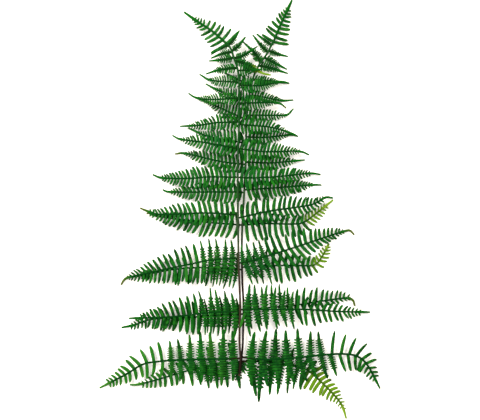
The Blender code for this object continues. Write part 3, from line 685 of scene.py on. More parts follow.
class Line:
    """A smooth line through points of the grid, in metres, read by distance."""

    STEPS = 16

    def __init__(self, points):
        points = np.array(points, float)
        x = (points[:, 0] - GRID_CENTRE[0]) * GRID_STEP
        y = (GRID_CENTRE[1] - points[:, 1]) * GRID_STEP
        self.set_points(np.stack([x, y], axis=1))

    def set_points(self, points):
        """Runs a Catmull-Rom curve through the points, and measures it."""
        ends = np.vstack([2 * points[0] - points[1], points, 2 * points[-1] - points[-2]])
        runs = []
        t = np.linspace(0.0, 1.0, self.STEPS, endpoint=False)[:, None]
        for before, start, end, after in zip(ends, ends[1:], ends[2:], ends[3:]):
            runs.append(0.5 * (2 * start + (end - before) * t
                               + (2 * before - 5 * start + 4 * end - after) * t ** 2
                               + (3 * start - before - 3 * end + after) * t ** 3))
        self.corners = points
        self.points = np.vstack(runs + [points[-1:]])
        steps = np.linalg.norm(np.diff(self.points, axis=0), axis=1)
        self.marks = np.concatenate([[0.0], np.cumsum(steps)])
        self.length = self.marks[-1]

    def at(self, distance):
        """The place on the line, this far from its start."""
        return np.stack([np.interp(distance, self.marks, self.points[:, 0]),
                         np.interp(distance, self.marks, self.points[:, 1])], axis=-1)

    def heading(self, distance, reach=0.003):
        """The line's direction, read between a point a little ahead and one a little behind."""
        ahead = self.at(np.minimum(distance + reach, self.length))
        behind = self.at(np.maximum(distance - reach, 0.0))
        way = ahead - behind
        return np.arctan2(way[..., 1], way[..., 0])

    def start_on(self, other):
        """Moves the line's start to the nearest point of the other line."""
        gaps = np.linalg.norm(other.points - self.corners[0], axis=1)
        corners = self.corners.copy()
        corners[0] = other.points[np.argmin(gaps)]
        self.set_points(corners)


left_line = Line(LEFT_STALK)
right_line = Line(RIGHT_STALK)


def left_stalk_sheet(y):
    """The sheet that the left stalk lies in: it rises off the foot to the top ones."""
    return mix(FORK_SHEET, LEFT_STALK_SHEET, smooth_step(FORK_LOW_Y, FORK_HIGH_Y, y))


print(f"stalks: left {left_line.length:.3f} m, right {right_line.length:.3f} m")

# %% [markdown]
# ## The plain leaflet
# A plain leaflet is a strap with almost parallel sides and a short point, a little curved towards the tail of
# its side frond. Its blade is raised on both sides of a groove over the midrib. Each leaflet could be
# modelled by hand, but there are more than a thousand, so a few shapes are made once, as closed bodies with
# few faces, and Geometry Nodes place them. A shape is one unit long and one unit wide, lies along +X, and
# carries four numbers at each point: how far along it is, how far across, how much painted shade it gets in
# the groove over the midrib, and which lobe it is on.

# %% Shapes of a plain leaflet
PLAIN_OUTLINE = [(0.00, 0.50), (0.12, 0.47), (0.38, 0.51), (0.68, 0.50), (0.88, 0.42), (0.97, 0.24)]
BROAD_OUTLINE = [(0.00, 0.54), (0.14, 0.50), (0.40, 0.52), (0.66, 0.48), (0.86, 0.38), (0.96, 0.22)]
# Its section: how far across a point is, and its height in leaf thicknesses
SECTION = [(-1.0, -0.3), (-0.55, 0.50), (0.0, 0.15), (0.55, 0.50), (1.0, -0.3), (0.0, -0.45)]
# How much painted shade the groove over a plain leaflet's midrib gets
PLAIN_CREASE_SHADE = 0.42
PLAIN_BEND = 0.45
BROAD_BEND = 0.72
HANDS = (-1, 1)             # curved to the right and to the left


class LeafShape:
    """A leaf shape while it is built. hand is 1 or -1, the side it curves to, and bend is how far."""

    def __init__(self, hand, bend):
        self.curve = hand * bend
        self.points, self.faces = [], []
        self.numbers = {"along": [], "across": [], "crease_shade": [], "lobe": []}

    def add(self, along, aside, height, across, crease_shade=0.0, lobe=0.0):
        """Adds a point with its numbers, and gives its place in the list."""
        self.points.append((along, aside + self.curve * along * along, height * LEAF_THICKNESS))
        for values, value in zip(self.numbers.values(), (along, across, crease_shade, lobe)):
            values.append(value)
        return len(self.points) - 1

    def finish(self, name):
        """A smooth-shaded object that carries the numbers at its points."""
        mesh = bpy.data.meshes.new(name)
        mesh.from_pydata(self.points, [], self.faces)
        mesh.shade_smooth()
        for label, values in self.numbers.items():
            mesh.attributes.new(label, "FLOAT", "POINT").data.foreach_set("value", values)
        return bpy.data.objects.new(name, mesh)


def plain_leaf(name, outline, hand, bend):
    """A closed strap with a grooved upper side."""
    leaf = LeafShape(hand, bend)
    for along, half in outline:
        for across, height in SECTION:
            # Only the groove over the midrib gets painted shade
            crease_shade = PLAIN_CREASE_SHADE if across == 0.0 else 0.0
            leaf.add(along, across * half, height, across, crease_shade)
    sides = len(SECTION)
    rings = len(outline)
    for ring in range(rings - 1):
        for side in range(sides):
            here = ring * sides + side
            beside = ring * sides + (side + 1) % sides
            leaf.faces.append((here, here + sides, beside + sides, beside))
    tip = leaf.add(1.0, 0.0, 0.0, 0.0)
    last = (rings - 1) * sides
    for side in range(sides):
        leaf.faces.append((last + side, tip, last + (side + 1) % sides))
    leaf.faces.append(tuple(range(sides)))
    return leaf.finish(name)


made_shapes = []
for hand_index, hand in enumerate(HANDS):
    made_shapes.append(plain_leaf(f"shape_0_plain_{hand_index}", PLAIN_OUTLINE, hand, PLAIN_BEND))
    made_shapes.append(plain_leaf(f"shape_1_broad_{hand_index}", BROAD_OUTLINE, hand, BROAD_BEND))
print("plain leaf shapes:", [shape.name for shape in made_shapes])


# %% [markdown]
# ## The lobed leaflet
# Near the stalk a leaflet of the lower rows is a small fern of its own. It is cut into blunt lobes for
# nearly two thirds of its length and ends in a narrow strap. Its lobes could be leaflets too, but they
# hang together at the midrib, so the whole is one closed blade, built outwards from its middle: for each
# lobe a low and a high point at its root and two at its tip, on the upper face and on the under one.

# %% Shapes of a lobed leaflet
DEEP = {"lobes": 7, "cut_share": 0.66, "body": (0.24, 0.19), "bend": 0.18, "last_lobe": 0.80}
SHALLOW = {"lobes": 5, "cut_share": 0.62, "body": (0.24, 0.20), "bend": 0.30, "last_lobe": 0.72}
LOBE_AT_ROOT = 0.80         # reach of the lobe nearest the rib, as a share of the widest one's
WIDEST_LOBE_SHARE = 0.28    # where along the lobed part the widest lobe is
LOBE_ROOT = (0.08, 0.86)    # where a lobe starts and ends on the middle, within its own step
LOBE_TIP = (0.36, 0.86)     # the same at its tip, which leans forward
LOBE_LOW_REACH = 0.9        # reach of its lower corner, as a share of the upper one's
STRAP_HALVES = ((0.10, 0.17), (0.60, 0.15), (0.90, 0.09))   # how far along the strap, and its half width
# How much painted shade the groove over a lobed leaflet's midrib gets
LOBED_CREASE_SHADE = 0.25
# Heights in leaf thicknesses: of the blade's two faces, the groove over the midrib, and the midrib
FACE_TOP, FACE_UNDER, GROOVE, MIDRIB = 0.45, -0.35, 0.20, -0.45


def lobed_leaf(name, hand, lobes, cut_share, body, bend, last_lobe):
    """A closed blade cut into lobes up to cut_share of its length, then a narrow strap. body is the
    half width of the uncut middle at the rib and at the last lobe, whose reach last_lobe gives."""
    leaf = LeafShape(hand, bend)
    faces = leaf.faces

    def add(along, across, height, crease_shade=0.0):
        lobe = 0.5 + lobes * along / cut_share if along <= cut_share else lobes + 1.0
        return leaf.add(along, across, height, across, crease_shade, lobe)

    def add_pair(along, across):
        """A point on the upper face and the one under it."""
        return add(along, across, FACE_TOP), add(along, across, FACE_UNDER)

    def wall(*pairs):
        """The narrow sides of the blade between pairs that follow one another."""
        for here, there in zip(pairs, pairs[1:]):
            faces.append([here[0], there[0], there[1], here[1]])

    def lobe_reach(share):
        """How far out a lobe reaches, at this share of the lobed part."""
        swell = mix(LOBE_AT_ROOT, 1.0, min(share / WIDEST_LOBE_SHARE, 1.0))
        outer = max(share - WIDEST_LOBE_SHARE, 0.0) / (1.0 - WIDEST_LOBE_SHARE)
        return 0.5 * swell * mix(1.0, last_lobe, outer)

    stations = [(cut_share * index / lobes, mix(*body, index / lobes)) for index in range(lobes + 1)]
    stations += [(mix(cut_share, 1.0, share), half) for share, half in STRAP_HALVES]
    rings = []
    for along, half in stations:
        rings.append({
            "top": add(along, 0.0, GROOVE, LOBED_CREASE_SHADE), "under": add(along, 0.0, MIDRIB),
            -1: add_pair(along, -half), 1: add_pair(along, half),
        })
    for index, (here, there) in enumerate(zip(rings, rings[1:])):
        for side in (-1, 1):
            edge = [here[side], there[side]]
            if index < lobes:
                (start, half), (end, _) = stations[index], stations[index + 1]
                reach = lobe_reach((index + 0.5) / lobes)
                root_low = add_pair(mix(start, end, LOBE_ROOT[0]), side * half)
                root_high = add_pair(mix(start, end, LOBE_ROOT[1]), side * half)
                tip_low = add_pair(mix(start, end, LOBE_TIP[0]), side * reach * LOBE_LOW_REACH)
                tip_high = add_pair(mix(start, end, LOBE_TIP[1]), side * reach)
                lobe_edge = [root_low, tip_low, tip_high, root_high]
                wall(*lobe_edge)
                faces.append([pair[0] for pair in lobe_edge])
                faces.append([pair[1] for pair in lobe_edge])
                wall(here[side], root_low)
                wall(root_high, there[side])
                edge = [here[side], root_low, root_high, there[side]]
            else:
                wall(*edge)
            faces.append([here["top"], *[pair[0] for pair in edge], there["top"]])
            faces.append([here["under"], *[pair[1] for pair in edge], there["under"]])
    first, last = rings[0], rings[-1]
    faces.append([first["top"], first[1][0], first[1][1], first["under"], first[-1][1], first[-1][0]])
    tip = add(1.0, 0.0, 0.0)
    rim = [last["top"], last[1][0], last[1][1], last["under"], last[-1][1], last[-1][0]]
    for here, there in zip(rim, rim[1:] + rim[:1]):
        faces.append([here, there, tip])
    return leaf.finish(name)


def face_outwards(mesh):
    """Turns every face of a closed shape to point out."""
    work = bmesh.new()
    work.from_mesh(mesh)
    bmesh.ops.recalc_face_normals(work, faces=work.faces[:])
    work.to_mesh(mesh)
    work.free()


for hand_index, hand in enumerate(HANDS):
    made_shapes.append(lobed_leaf(f"shape_2_deep_{hand_index}", hand, **DEEP))
    made_shapes.append(lobed_leaf(f"shape_3_shallow_{hand_index}", hand, **SHALLOW))
# The nodes number the shapes by name, and each kind's second shape is curved to the left
PLAIN, BROAD, DEEP_LOBED, SHALLOW_LOBED = 0, 2, 4, 6
OTHER_HAND = 1
shapes = bpy.data.collections.new("leaf shapes")
bpy.context.scene.collection.children.link(shapes)
for shape in made_shapes:
    face_outwards(shape.data)
    shapes.objects.link(shape)
    print(shape.name, len(shape.data.polygons), "faces")


# %% [markdown]
# ## Where every leaflet goes
# The leaflets stand along both sides of a rib, closer and shorter towards its tail. They could be set
# by hand one by one, but here each becomes one point that carries its heading, length, width, shape,
# tone and age. The points follow the side fronds' lines, so changing a line moves its leaflets with it.
# All the chance in a leaf comes from one seeded source, so every run grows the same frond.

# %% Points for the leaflets
SEED = 41
SHARES = (0.0, 0.25, 0.5, 0.75, 1.0)    # how far out the lengths and spacings of a side frond are read
LEAFY_FROM = 0.0030                     # the first leaflet stands this far from the stalk, or more
FIRST_STEP = (0.35, 0.55)               # by a share of a spacing between these two
TAIL_LENGTH = 0.0175                    # bare tail of a side frond
TAIL_SHARE = 0.26                       # and the most of a short side frond's length that it takes
TAIL_DROP_SHARE = 0.16                  # share of a side frond that bends down where its end rests
RIB_END_HEIGHT = 0.0004
LOBED_SHARE = 0.90                      # width of a lobed leaflet, as a share of the spacing
WIDEST_SHARE = 0.42                     # the most that a plain leaflet's width is of its length
YELLOW_FULLNESS = 0.90                  # width of a yellow leaflet, as a share of a green one's
PLAIN_CHANCE = 0.6                      # so many of the unlobed leaflets are plain, the rest broad
LENGTH_CHANCE = 0.11
ROW_CHANCE, YELLOW_ROW_CHANCE = 0.08, 0.02                          # of the spacing
LEAN_CHANCE, LOBED_LEAN_CHANCE, YELLOW_LEAN_CHANCE = 2.8, 3.0, 1.5  # in degrees
LEAN_FROM = 0.30                        # from here on, leaflets lean more and more towards the tail
ROW_TONE, LEAF_TONE = 0.12, 0.30        # how far the green differs between rows, and within one
PALE_FROM, PALE_TO = 0.30, 0.75         # a pale side frond gets lighter over this part of its length
PALE_RANGE = (0.4, 1.0)
PALE_LEAF_MEAN, PALE_LEAF_CHANCE = -0.10, 0.16      # a few leaflets are paler on any side frond
YELLOW_BEFORE, YELLOW_AFTER = 0.04, 0.08    # a side frond goes yellow over this share of its length
AGE_RANGE = (0.75, 1.0)
OLIVE_FROM = 0.97
OLIVE_RANGE = (0.5, 1.0)
DROOP_RANGE = (-0.01, 0.045)            # how far a tip hangs, as a share of the leaflet's length
chance = np.random.default_rng(SEED)


def rib_heights(frond, line, distances):
    """Heights along a rib: from its stalk to its own sheet, and to the surface where its tail rests."""
    root_y = line.at(0.0)[1]
    stalk_sheet = left_stalk_sheet(root_y) if frond.on_left_stalk else RIGHT_STALK_SHEET
    own = mix(stalk_sheet, frond.sheet, smooth_step(0.0, SHEET_BLEND, distances))
    if frond in CROWNS:
        own = np.full_like(distances, CROWN_SHEETS[CROWNS.index(frond)])
    points = line.at(distances)
    heights = sheet_height(points[..., 0], points[..., 1], own)
    if frond.rests:
        drop = smooth_step(1.0 - TAIL_DROP_SHARE, 1.0, distances / line.length)
        heights = mix(heights, RIB_END_HEIGHT, drop)
    return heights, own


def tail_length(frond, line):
    """How much of the line's end is bare of leaflets."""
    return frond.tail * GRID_STEP if frond.tail else min(TAIL_LENGTH, line.length * TAIL_SHARE)


def leaflets_of(frond, line):
    """One row for each leaflet of a side frond: place, heading, sizes, shape and colour numbers."""
    start, end = LEAFY_FROM + frond.bare * GRID_STEP, line.length - tail_length(frond, line)
    crown_on_left = line.points[len(line.points) // 2][0] > line.points[0][0]
    row_tone = chance.uniform(-ROW_TONE, ROW_TONE)
    rows = []
    for left in (True, False):
        towards_crown = left == crown_on_left
        lengths = frond.crown_side if towards_crown else frond.foot_side
        near_lean, far_lean = frond.lean[:2] if towards_crown else frond.lean[2:]
        distance = start + chance.uniform(*FIRST_STEP) * frond.spacing[0] * GRID_STEP
        while distance < end:
            share = (distance - start) / (end - start)
            spacing = np.interp(share, SHARES, frond.spacing) * GRID_STEP
            length = np.interp(share, SHARES, lengths) * GRID_STEP
            length *= 1.0 + chance.uniform(-LENGTH_CHANCE, LENGTH_CHANCE)
            point = line.at(distance)
            forward = line.heading(distance)
            outward = 1 if left else -1
            lobed = share < frond.lobed
            yellow = share > frond.yellow
            degrees = mix(near_lean, far_lean, smooth_step(LEAN_FROM, 1.0, share))
            spread = LOBED_LEAN_CHANCE if lobed else YELLOW_LEAN_CHANCE if yellow else LEAN_CHANCE
            degrees += chance.normal(0.0, spread)
            heading = forward + outward * math.radians(90.0 - degrees)
            if lobed:
                width = LOBED_SHARE * spacing * frond.fullness
                kind = DEEP_LOBED if frond.deep else SHALLOW_LOBED
            else:
                width = min(frond.strap[0] * spacing, frond.strap[1] * GRID_STEP, WIDEST_SHARE * length)
                width *= YELLOW_FULLNESS if yellow else 1.0
                kind = PLAIN if chance.random() < PLAIN_CHANCE else BROAD
            kind += 0 if left else OTHER_HAND
            height, own = rib_heights(frond, line, np.array([distance]))
            flat = sheet_height(point[0], point[1], own[0])
            age = smooth_step(frond.yellow - YELLOW_BEFORE, frond.yellow + YELLOW_AFTER, share)
            olive = smooth_step(OLIVE_FROM, 1.0, share) if frond.olive_tail else 0.0
            rows.append({
                "x": point[0], "y": point[1], "heading": heading, "length": length, "width": width,
                "kind": kind, "sheet": own[0], "lift": height[0] - flat,
                "tone": np.clip(0.5 + row_tone + chance.normal(0.0, LEAF_TONE), 0.0, 1.0),
                "pale": frond.pale * smooth_step(PALE_FROM, PALE_TO, share) * chance.uniform(*PALE_RANGE)
                        + max(chance.normal(PALE_LEAF_MEAN, PALE_LEAF_CHANCE), 0.0),
                "age": age * chance.uniform(*AGE_RANGE), "olive": olive * chance.uniform(*OLIVE_RANGE),
                "droop": chance.uniform(*DROOP_RANGE),
                "upper": frond.on_left_stalk, "lobed": lobed, "yellow": yellow,
            })
            row_chance = YELLOW_ROW_CHANCE if yellow else ROW_CHANCE
            distance += spacing * (1.0 + chance.uniform(-row_chance, row_chance))
    return rows


print("leaflets are spread by chance with seed", SEED)

# %% [markdown]
# ## Leaves beside the rows
# A tuft of small dark leaves stands round the foot, and one leaflet lies over the two stalks. They could
# be left out, as they follow no rule, but they catch the eye in the photograph, so each is set by
# itself. Then the leaflets of all side fronds join them in one list.

# %% Stray leaves, and all the leaflets
# Place in grid steps, heading in degrees, length and width in grid steps, shape, tone, pale green, sheet
STRAY_LEAVES = [
    ((245.2, 312.5), 246, 15.5, 3.0, PLAIN + OTHER_HAND, 0.5, 0.35, 3.2),
    ((239.6, 363), 200, 9, 6.5, SHALLOW_LOBED + OTHER_HAND, 0.0, 0.0, 0.1),
    ((239.0, 366), 212, 8, 5.5, SHALLOW_LOBED + OTHER_HAND, 0.1, 0.0, 0.1),
    ((240.6, 362), 340, 9, 6.5, SHALLOW_LOBED, 0.1, 0.0, 0.1),
    ((240.2, 365), 330, 9, 6.5, SHALLOW_LOBED, 0.0, 0.0, 0.1),
    ((240.2, 368), 322, 8, 5.5, SHALLOW_LOBED, 0.2, 0.0, 0.1),
    ((239.6, 370), 226, 5, 3.5, BROAD + OTHER_HAND, 0.0, 0.0, 0.1),
]


def stray_leaf(place, degrees, length, width, kind, tone, pale, sheet):
    """The row of a leaf that no side frond carries."""
    return {
        "x": (place[0] - GRID_CENTRE[0]) * GRID_STEP, "y": (GRID_CENTRE[1] - place[1]) * GRID_STEP,
        "heading": math.radians(degrees), "length": length * GRID_STEP, "width": width * GRID_STEP,
        "kind": kind, "sheet": sheet, "lift": 0.0, "tone": tone, "pale": pale, "age": 0.0, "olive": 0.0,
        "droop": 0.0, "upper": True, "lobed": kind >= DEEP_LOBED, "yellow": False,
    }


frond_lines = []
leaflets = [stray_leaf(*leaf) for leaf in STRAY_LEAVES]
for frond in SIDE_FRONDS + CROWNS:
    line = Line(frond.line)
    if frond not in CROWNS:
        line.start_on(left_line if frond.on_left_stalk else right_line)
    frond_lines.append(line)
    leaflets += leaflets_of(frond, line)
print("leaflets:", len(leaflets), "of them lobed:", sum(leaf["lobed"] for leaf in leaflets))


# %% [markdown]
# ## Growing the leaflets with Geometry Nodes
# The shapes could be copied in a loop, one object for each leaflet, but a thousand objects are slow to
# handle. A node tree does it at once: it puts the shape that each point asks for on that point, turns,
# rolls and stretches it, and makes the whole real.

# %% The leaflet tree
def new_tree(name, inputs):
    """A Geometry Nodes tree with a geometry input and output and the named inputs given."""
    tree = bpy.data.node_groups.new(name, "GeometryNodeTree")
    tree.interface.new_socket("Geometry", in_out="INPUT", socket_type="NodeSocketGeometry")
    for label, kind in inputs:
        tree.interface.new_socket(label, in_out="INPUT", socket_type=kind)
    tree.interface.new_socket("Geometry", in_out="OUTPUT", socket_type="NodeSocketGeometry")
    return tree


def end_tree(tree, geometry, material):
    """Ends a tree: makes all of it real, sets its material and gives it out."""
    real = add_node(tree, "GeometryNodeRealizeInstances", None, {"Geometry": geometry})
    coloured = add_node(tree, "GeometryNodeSetMaterial", None,
                        {"Geometry": real.outputs["Geometry"], "Material": material})
    add_node(tree, "NodeGroupOutput", None, {"Geometry": coloured.outputs["Geometry"]})


def leaflet_tree():
    """Puts the right leaf shape on every point, turned and stretched as the point says."""
    tree = new_tree("Grow leaflets", [
        ("Leaf shapes", "NodeSocketCollection"),
        ("Material", "NodeSocketMaterial"),
        ("Roll", "NodeSocketFloat"),
        ("Seed", "NodeSocketInt"),
    ])
    given = add_node(tree, "NodeGroupInput").outputs
    own = {}
    for label, kind in (("heading", "FLOAT"), ("length", "FLOAT"), ("width", "FLOAT"), ("kind", "INT")):
        read = add_node(tree, "GeometryNodeInputNamedAttribute", {"data_type": kind}, {"Name": label})
        own[label] = read.outputs["Attribute"]
    least = add_node(tree, "ShaderNodeMath", {"operation": "MULTIPLY"}, {0: given["Roll"], 1: -1.0})
    roll = add_node(tree, "FunctionNodeRandomValue", {"data_type": "FLOAT"},
                    {2: least.outputs[0], 3: given["Roll"], "Seed": given["Seed"]})
    turn = add_node(tree, "ShaderNodeCombineXYZ", None, {"X": roll.outputs[1], "Z": own["heading"]})
    size = add_node(tree, "ShaderNodeCombineXYZ", None, {"X": own["length"], "Y": own["width"], "Z": 1.0})
    choice = add_node(tree, "GeometryNodeCollectionInfo", None,
                      {"Collection": given["Leaf shapes"], "Separate Children": True, "Reset Children": True})
    placed = add_node(tree, "GeometryNodeInstanceOnPoints", None, {
        "Points": given["Geometry"], "Instance": choice.outputs["Instances"], "Pick Instance": True,
        "Instance Index": own["kind"], "Rotation": turn.outputs[0], "Scale": size.outputs[0],
    })
    end_tree(tree, placed.outputs["Instances"], given["Material"])
    return tree


grow_leaflets = leaflet_tree()
print("leaflet tree:", len(grow_leaflets.nodes), "nodes")


# %% [markdown]
# ## Draping the leaflets
# A leaflet follows the arch of the frond, and its tip hangs a little. The nodes could do that as well,
# but the heights already have their formula above. So the grown mesh is made plain, and every point of
# it is lifted to the height of its own sheet. The leaflets make four pieces, sorted by stalk and kind.

# %% The leaflets
def grown(name, base_mesh, tree, values):
    """Runs a tree on a mesh and gives a plain object with the result."""
    base = bpy.data.objects.new(name + "_base", base_mesh)
    bpy.context.scene.collection.objects.link(base)
    modifier = base.modifiers.new("Grow", "NODES")
    modifier.node_group = tree
    for socket in tree.interface.items_tree:
        if socket.in_out == "INPUT" and socket.name in values:
            modifier[socket.identifier] = values[socket.name]
    bpy.context.view_layer.update()
    graph = bpy.context.evaluated_depsgraph_get()
    mesh = bpy.data.meshes.new_from_object(base.evaluated_get(graph), preserve_all_data_layers=True,
                                           depsgraph=graph)
    bpy.data.objects.remove(base, do_unlink=True)
    mesh.name = name
    piece = bpy.data.objects.new(name, mesh)
    bpy.context.scene.collection.objects.link(piece)
    return piece


def read_numbers(mesh, label):
    """The numbers that a mesh's points carry under this label."""
    numbers = np.zeros(len(mesh.vertices))
    mesh.attributes[label].data.foreach_get("value", numbers)
    return numbers


def lift_mesh(mesh, middle_at):
    """Lifts every point by what middle_at gives for the points, and keeps it over the surface."""
    points = np.zeros(len(mesh.vertices) * 3)
    mesh.vertices.foreach_get("co", points)
    points = points.reshape(-1, 3)
    points[:, 2] = np.maximum(points[:, 2] + middle_at(points), LEAST_HEIGHT)
    mesh.vertices.foreach_set("co", points.ravel())
    mesh.update()


def drape(mesh):
    """Lifts a leaf mesh to its sheets, with hanging tips."""
    def middle_at(points):
        sheets = sheet_height(points[:, 0], points[:, 1], read_numbers(mesh, "sheet"))
        hang = read_numbers(mesh, "droop") * read_numbers(mesh, "length") * read_numbers(mesh, "along") ** 2
        return np.maximum(sheets + read_numbers(mesh, "lift") - hang, LEAF_THICKNESS)

    lift_mesh(mesh, middle_at)


def points_mesh(name, rows):
    """A mesh of loose points, one for each leaflet, that carry the leaflets' numbers."""
    mesh = bpy.data.meshes.new(name)
    mesh.from_pydata([(row["x"], row["y"], 0.0) for row in rows], [], [])
    for label in ("heading", "length", "width", "tone", "pale", "age", "olive", "sheet", "lift", "droop"):
        data = mesh.attributes.new(label, "FLOAT", "POINT").data
        data.foreach_set("value", np.array([row[label] for row in rows], np.float32))
    mesh.attributes.new("kind", "INT", "POINT").data.foreach_set("value", [row["kind"] for row in rows])
    return mesh


ROLL_DEGREES, LOBED_ROLL_DEGREES = 16.0, 7.0    # a leaflet is rolled by up to this, either way
green_leaflets = [leaf for leaf in leaflets if not leaf["lobed"] and not leaf["yellow"]]
LEAF_PIECES = [
    ("leaflets_of_left_stalk", leaf_upper, ROLL_DEGREES, "frond_green",
     [leaf for leaf in green_leaflets if leaf["upper"]]),
    ("leaflets_of_right_stalk", leaf_lower_painted_shade, ROLL_DEGREES, "frond_green",
     [leaf for leaf in green_leaflets if not leaf["upper"]]),
    ("lobed_leaflets", leaf_lobed_painted_shade, LOBED_ROLL_DEGREES, "frond_green",
     [leaf for leaf in leaflets if leaf["lobed"]]),
    ("yellow_leaflets", leaf_upper, ROLL_DEGREES, "frond_yellow",
     [leaf for leaf in leaflets if leaf["yellow"]]),
]
pieces = []
for name, skin, roll_degrees, slot, rows in LEAF_PIECES:
    piece = grown(name, points_mesh(name + "_points", rows), grow_leaflets, {
        "Leaf shapes": shapes, "Material": skin, "Roll": math.radians(roll_degrees), "Seed": SEED,
    })
    drape(piece.data)
    pieces.append((piece, slot))
    print(name, len(rows), "leaflets", len(piece.data.polygons), "faces")


# %% [markdown]
# ## Growing tubes
# A rib is a flattened, tapering tube along its side frond's line, and a stalk is a thicker round one.
# Curves with a bevel could make them too, but they can't carry the numbers that the materials read. A
# node tree keeps those at every point of a line, so one tree grows ribs and stalks alike.

# %% The tube tree
def tube_tree():
    """Turns open lines with a radius at each point into closed tubes."""
    tree = new_tree("Grow tubes", [
        ("Material", "NodeSocketMaterial"), ("Sides", "NodeSocketInt"), ("Flatness", "NodeSocketFloat"),
    ])
    given = add_node(tree, "NodeGroupInput").outputs
    radius = add_node(tree, "GeometryNodeInputNamedAttribute", {"data_type": "FLOAT"}, {"Name": "radius"})
    curves = add_node(tree, "GeometryNodeMeshToCurve", None, {"Mesh": given["Geometry"]})
    level = add_node(tree, "GeometryNodeSetCurveNormal", {"mode": "Z_UP"}, {"Curve": curves.outputs["Curve"]})
    sized = add_node(tree, "GeometryNodeSetCurveRadius", None,
                     {"Curve": level.outputs["Curve"], "Radius": radius.outputs["Attribute"]})
    circle = add_node(tree, "GeometryNodeCurvePrimitiveCircle", None,
                      {"Resolution": given["Sides"], "Radius": 1.0})
    squash = add_node(tree, "ShaderNodeCombineXYZ", None, {"X": 1.0, "Y": given["Flatness"], "Z": 1.0})
    section = add_node(tree, "GeometryNodeTransform", None,
                       {"Geometry": circle.outputs["Curve"], "Scale": squash.outputs[0]})
    tube = add_node(tree, "GeometryNodeCurveToMesh", None, {
        "Curve": sized.outputs["Curve"], "Profile Curve": section.outputs["Geometry"], "Fill Caps": True,
    })
    # Where the node has a scale of its own, it takes the radius there and not from the curve
    if "Scale" in tube.inputs:
        tree.links.new(radius.outputs["Attribute"], tube.inputs["Scale"])
    smooth = add_node(tree, "GeometryNodeSetShadeSmooth", None, {"Geometry": tube.outputs["Mesh"]})
    end_tree(tree, smooth.outputs["Geometry"], given["Material"])
    return tree


grow_tubes = tube_tree()
print("tube tree:", len(grow_tubes.nodes), "nodes")


# %% [markdown]
# ## Ribs and stalks
# Each rib runs from its stalk down to the bare tail, where the blade runs out along it and makes it a
# little wider. The left stalk rises off the foot and then lies over the right one. The right stalk ends
# in the cut foot, which lies on the surface. They could be drawn as curves by hand, but as runs of
# points along the same lines as the leaflets, they always meet them.

# %% The ribs and the stalks
def lines_mesh(name, runs):
    """A mesh of open lines. Each run is (points, {label: numbers}) with a radius among its numbers."""
    mesh = bpy.data.meshes.new(name)
    points, edges = [], []
    numbers = {label: [] for label in runs[0][1]}
    for run, labels in runs:
        first = len(points)
        points += [tuple(point) for point in run]
        edges += [(index, index + 1) for index in range(first, len(points) - 1)]
        for label, values in labels.items():
            numbers[label] += list(values)
    mesh.from_pydata(points, edges, [])
    for label, values in numbers.items():
        data = mesh.attributes.new(label, "FLOAT", "POINT").data
        data.foreach_set("value", np.array(values, np.float32))
    return mesh


RUN_STEP = 0.004                        # from one point of a tube's line to the next
LEAST_RIB_POINTS = 8
BROWN_ROOT = 0.030                      # a rib is brown this far from its stalk
FAINT_BROWN = 0.25                      # where its root is green, this much of the brown is left
LONG_SIDE_FROND = 0.22                  # from this length on, a side frond has the widest tail
TAIL_RAMP = 0.012                       # the rib widens into the tail over this length
TAIL_HALF_WIDTHS = (0.0021, 0.0025)     # of the shortest and of the long side fronds
CROWN_TAIL_HALF_WIDTH = 0.0030
TAIL_END_SHARE = 0.60                   # the tail's end, as a share of its widest
CROWN_LEAFY = 0.55                      # how leaf green a crown's rib is all along
RIB_YELLOWING = 0.05                    # a rib goes yellow over this share of its length, both ways
RIB_OLIVE_FROM, RIB_OLIVE_TO = 0.89, 0.98
RIB_SIDES, STALK_SIDES = 10, 20
ROUND = 1.0


def rib_run(frond, line):
    """A rib's points and numbers."""
    count = max(int(line.length / RUN_STEP), LEAST_RIB_POINTS)
    distances = np.linspace(0.0, line.length, count)
    share = distances / line.length
    heights, _ = rib_heights(frond, line, distances)
    flat = line.at(distances)
    size = smooth_step(0.0, LONG_SIDE_FROND, line.length)
    tail_start = line.length - tail_length(frond, line)
    winged = smooth_step(tail_start - TAIL_RAMP, tail_start, distances)
    tail_width = CROWN_TAIL_HALF_WIDTH if frond in CROWNS else mix(*TAIL_HALF_WIDTHS, size)
    rib_width = CROWN_RIB_HALF_WIDTH if frond in CROWNS else max(RIB_HALF_WIDTH, frond.blade)
    radius = mix(rib_width, tail_width, winged)
    past = np.clip((distances - tail_start) / (line.length - tail_start), 0.0, 1.0)
    radius *= mix(1.0, TAIL_END_SHARE, past)
    brown = (1.0 - smooth_step(0.0, BROWN_ROOT, distances)) * (1.0 if frond.brown_root else FAINT_BROWN)
    return np.column_stack([flat, heights]), {
        "radius": radius,
        "brown": brown,
        "leafy": np.maximum(winged, CROWN_LEAFY if frond in CROWNS else 0.0),
        "pale": winged * frond.pale,
        "age": smooth_step(frond.yellow - RIB_YELLOWING, frond.yellow + RIB_YELLOWING, share),
        "olive": smooth_step(RIB_OLIVE_FROM, RIB_OLIVE_TO, share) * (1.0 if frond.olive_tail else 0.0),
    }


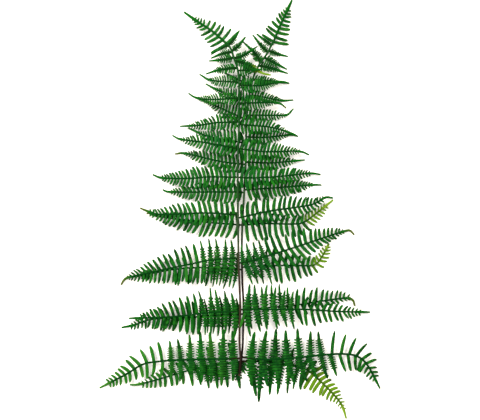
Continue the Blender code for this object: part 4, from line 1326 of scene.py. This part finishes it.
def stalk_run(line, has_foot):
    """A stalk's points and numbers. Only the right stalk has the foot, and shows its cut."""
    distances = np.linspace(0.0, line.length, int(line.length / RUN_STEP))
    flat = line.at(distances)
    x, y = flat[:, 0], flat[:, 1]
    sheet = RIGHT_STALK_SHEET if has_foot else left_stalk_sheet(y)
    foot = has_foot * (1.0 - smooth_step(FOOT_TOP_Y, FOOT_TOP_Y + FOOT_BLEND, y))
    heights = mix(sheet_height(x, y, sheet), FOOT_HEIGHT, foot)
    radius = mix(mix(STALK_RADIUS, STALK_END_RADIUS, distances / line.length), FOOT_RADIUS, foot)
    cut = np.zeros(len(y))
    cut[0] = has_foot
    return np.column_stack([flat, heights]), {"radius": radius, "cut": cut}


upper_runs = []
lower_runs = []
for frond, line in zip(SIDE_FRONDS + CROWNS, frond_lines):
    runs = upper_runs if frond.on_left_stalk else lower_runs
    runs.append(rib_run(frond, line))
TUBE_PIECES = [
    ("ribs_of_left_stalk", upper_runs, rib_skin, RIB_SIDES, RIB_FLATNESS, "frond_green"),
    ("ribs_of_right_stalk", lower_runs, rib_skin, RIB_SIDES, RIB_FLATNESS, "frond_green"),
    ("left_stalk", [stalk_run(left_line, has_foot=False)], stalk_left_skin, STALK_SIDES, ROUND,
     "stalk_brown"),
    ("right_stalk_and_foot", [stalk_run(right_line, has_foot=True)], stalk_right_skin, STALK_SIDES, ROUND,
     "stalk_brown"),
]
for name, runs, skin, sides, flatness, slot in TUBE_PIECES:
    piece = grown(name, lines_mesh(name + "_lines", runs), grow_tubes,
                  {"Material": skin, "Sides": sides, "Flatness": flatness})
    # The tubes already lie at their heights, and only have to stay over the surface
    lift_mesh(piece.data, lambda points: 0.0)
    pieces.append((piece, slot))
    print(name, len(runs), "tubes", len(piece.data.polygons), "faces")

# %% [markdown]
# ## Hand the pieces to the frame
# A frond has nothing that moves, so every piece rides on its one body, and the pieces together take the solid
# model's place. They could be joined into one mesh, but as eight pieces each can still be given another
# finish. The helper shapes go.

# %% Finish
for shape in made_shapes:
    bpy.data.objects.remove(shape, do_unlink=True)
bpy.data.collections.remove(shapes)
for piece, slot in pieces:
    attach(piece, "root")
    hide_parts("bracken_frond")
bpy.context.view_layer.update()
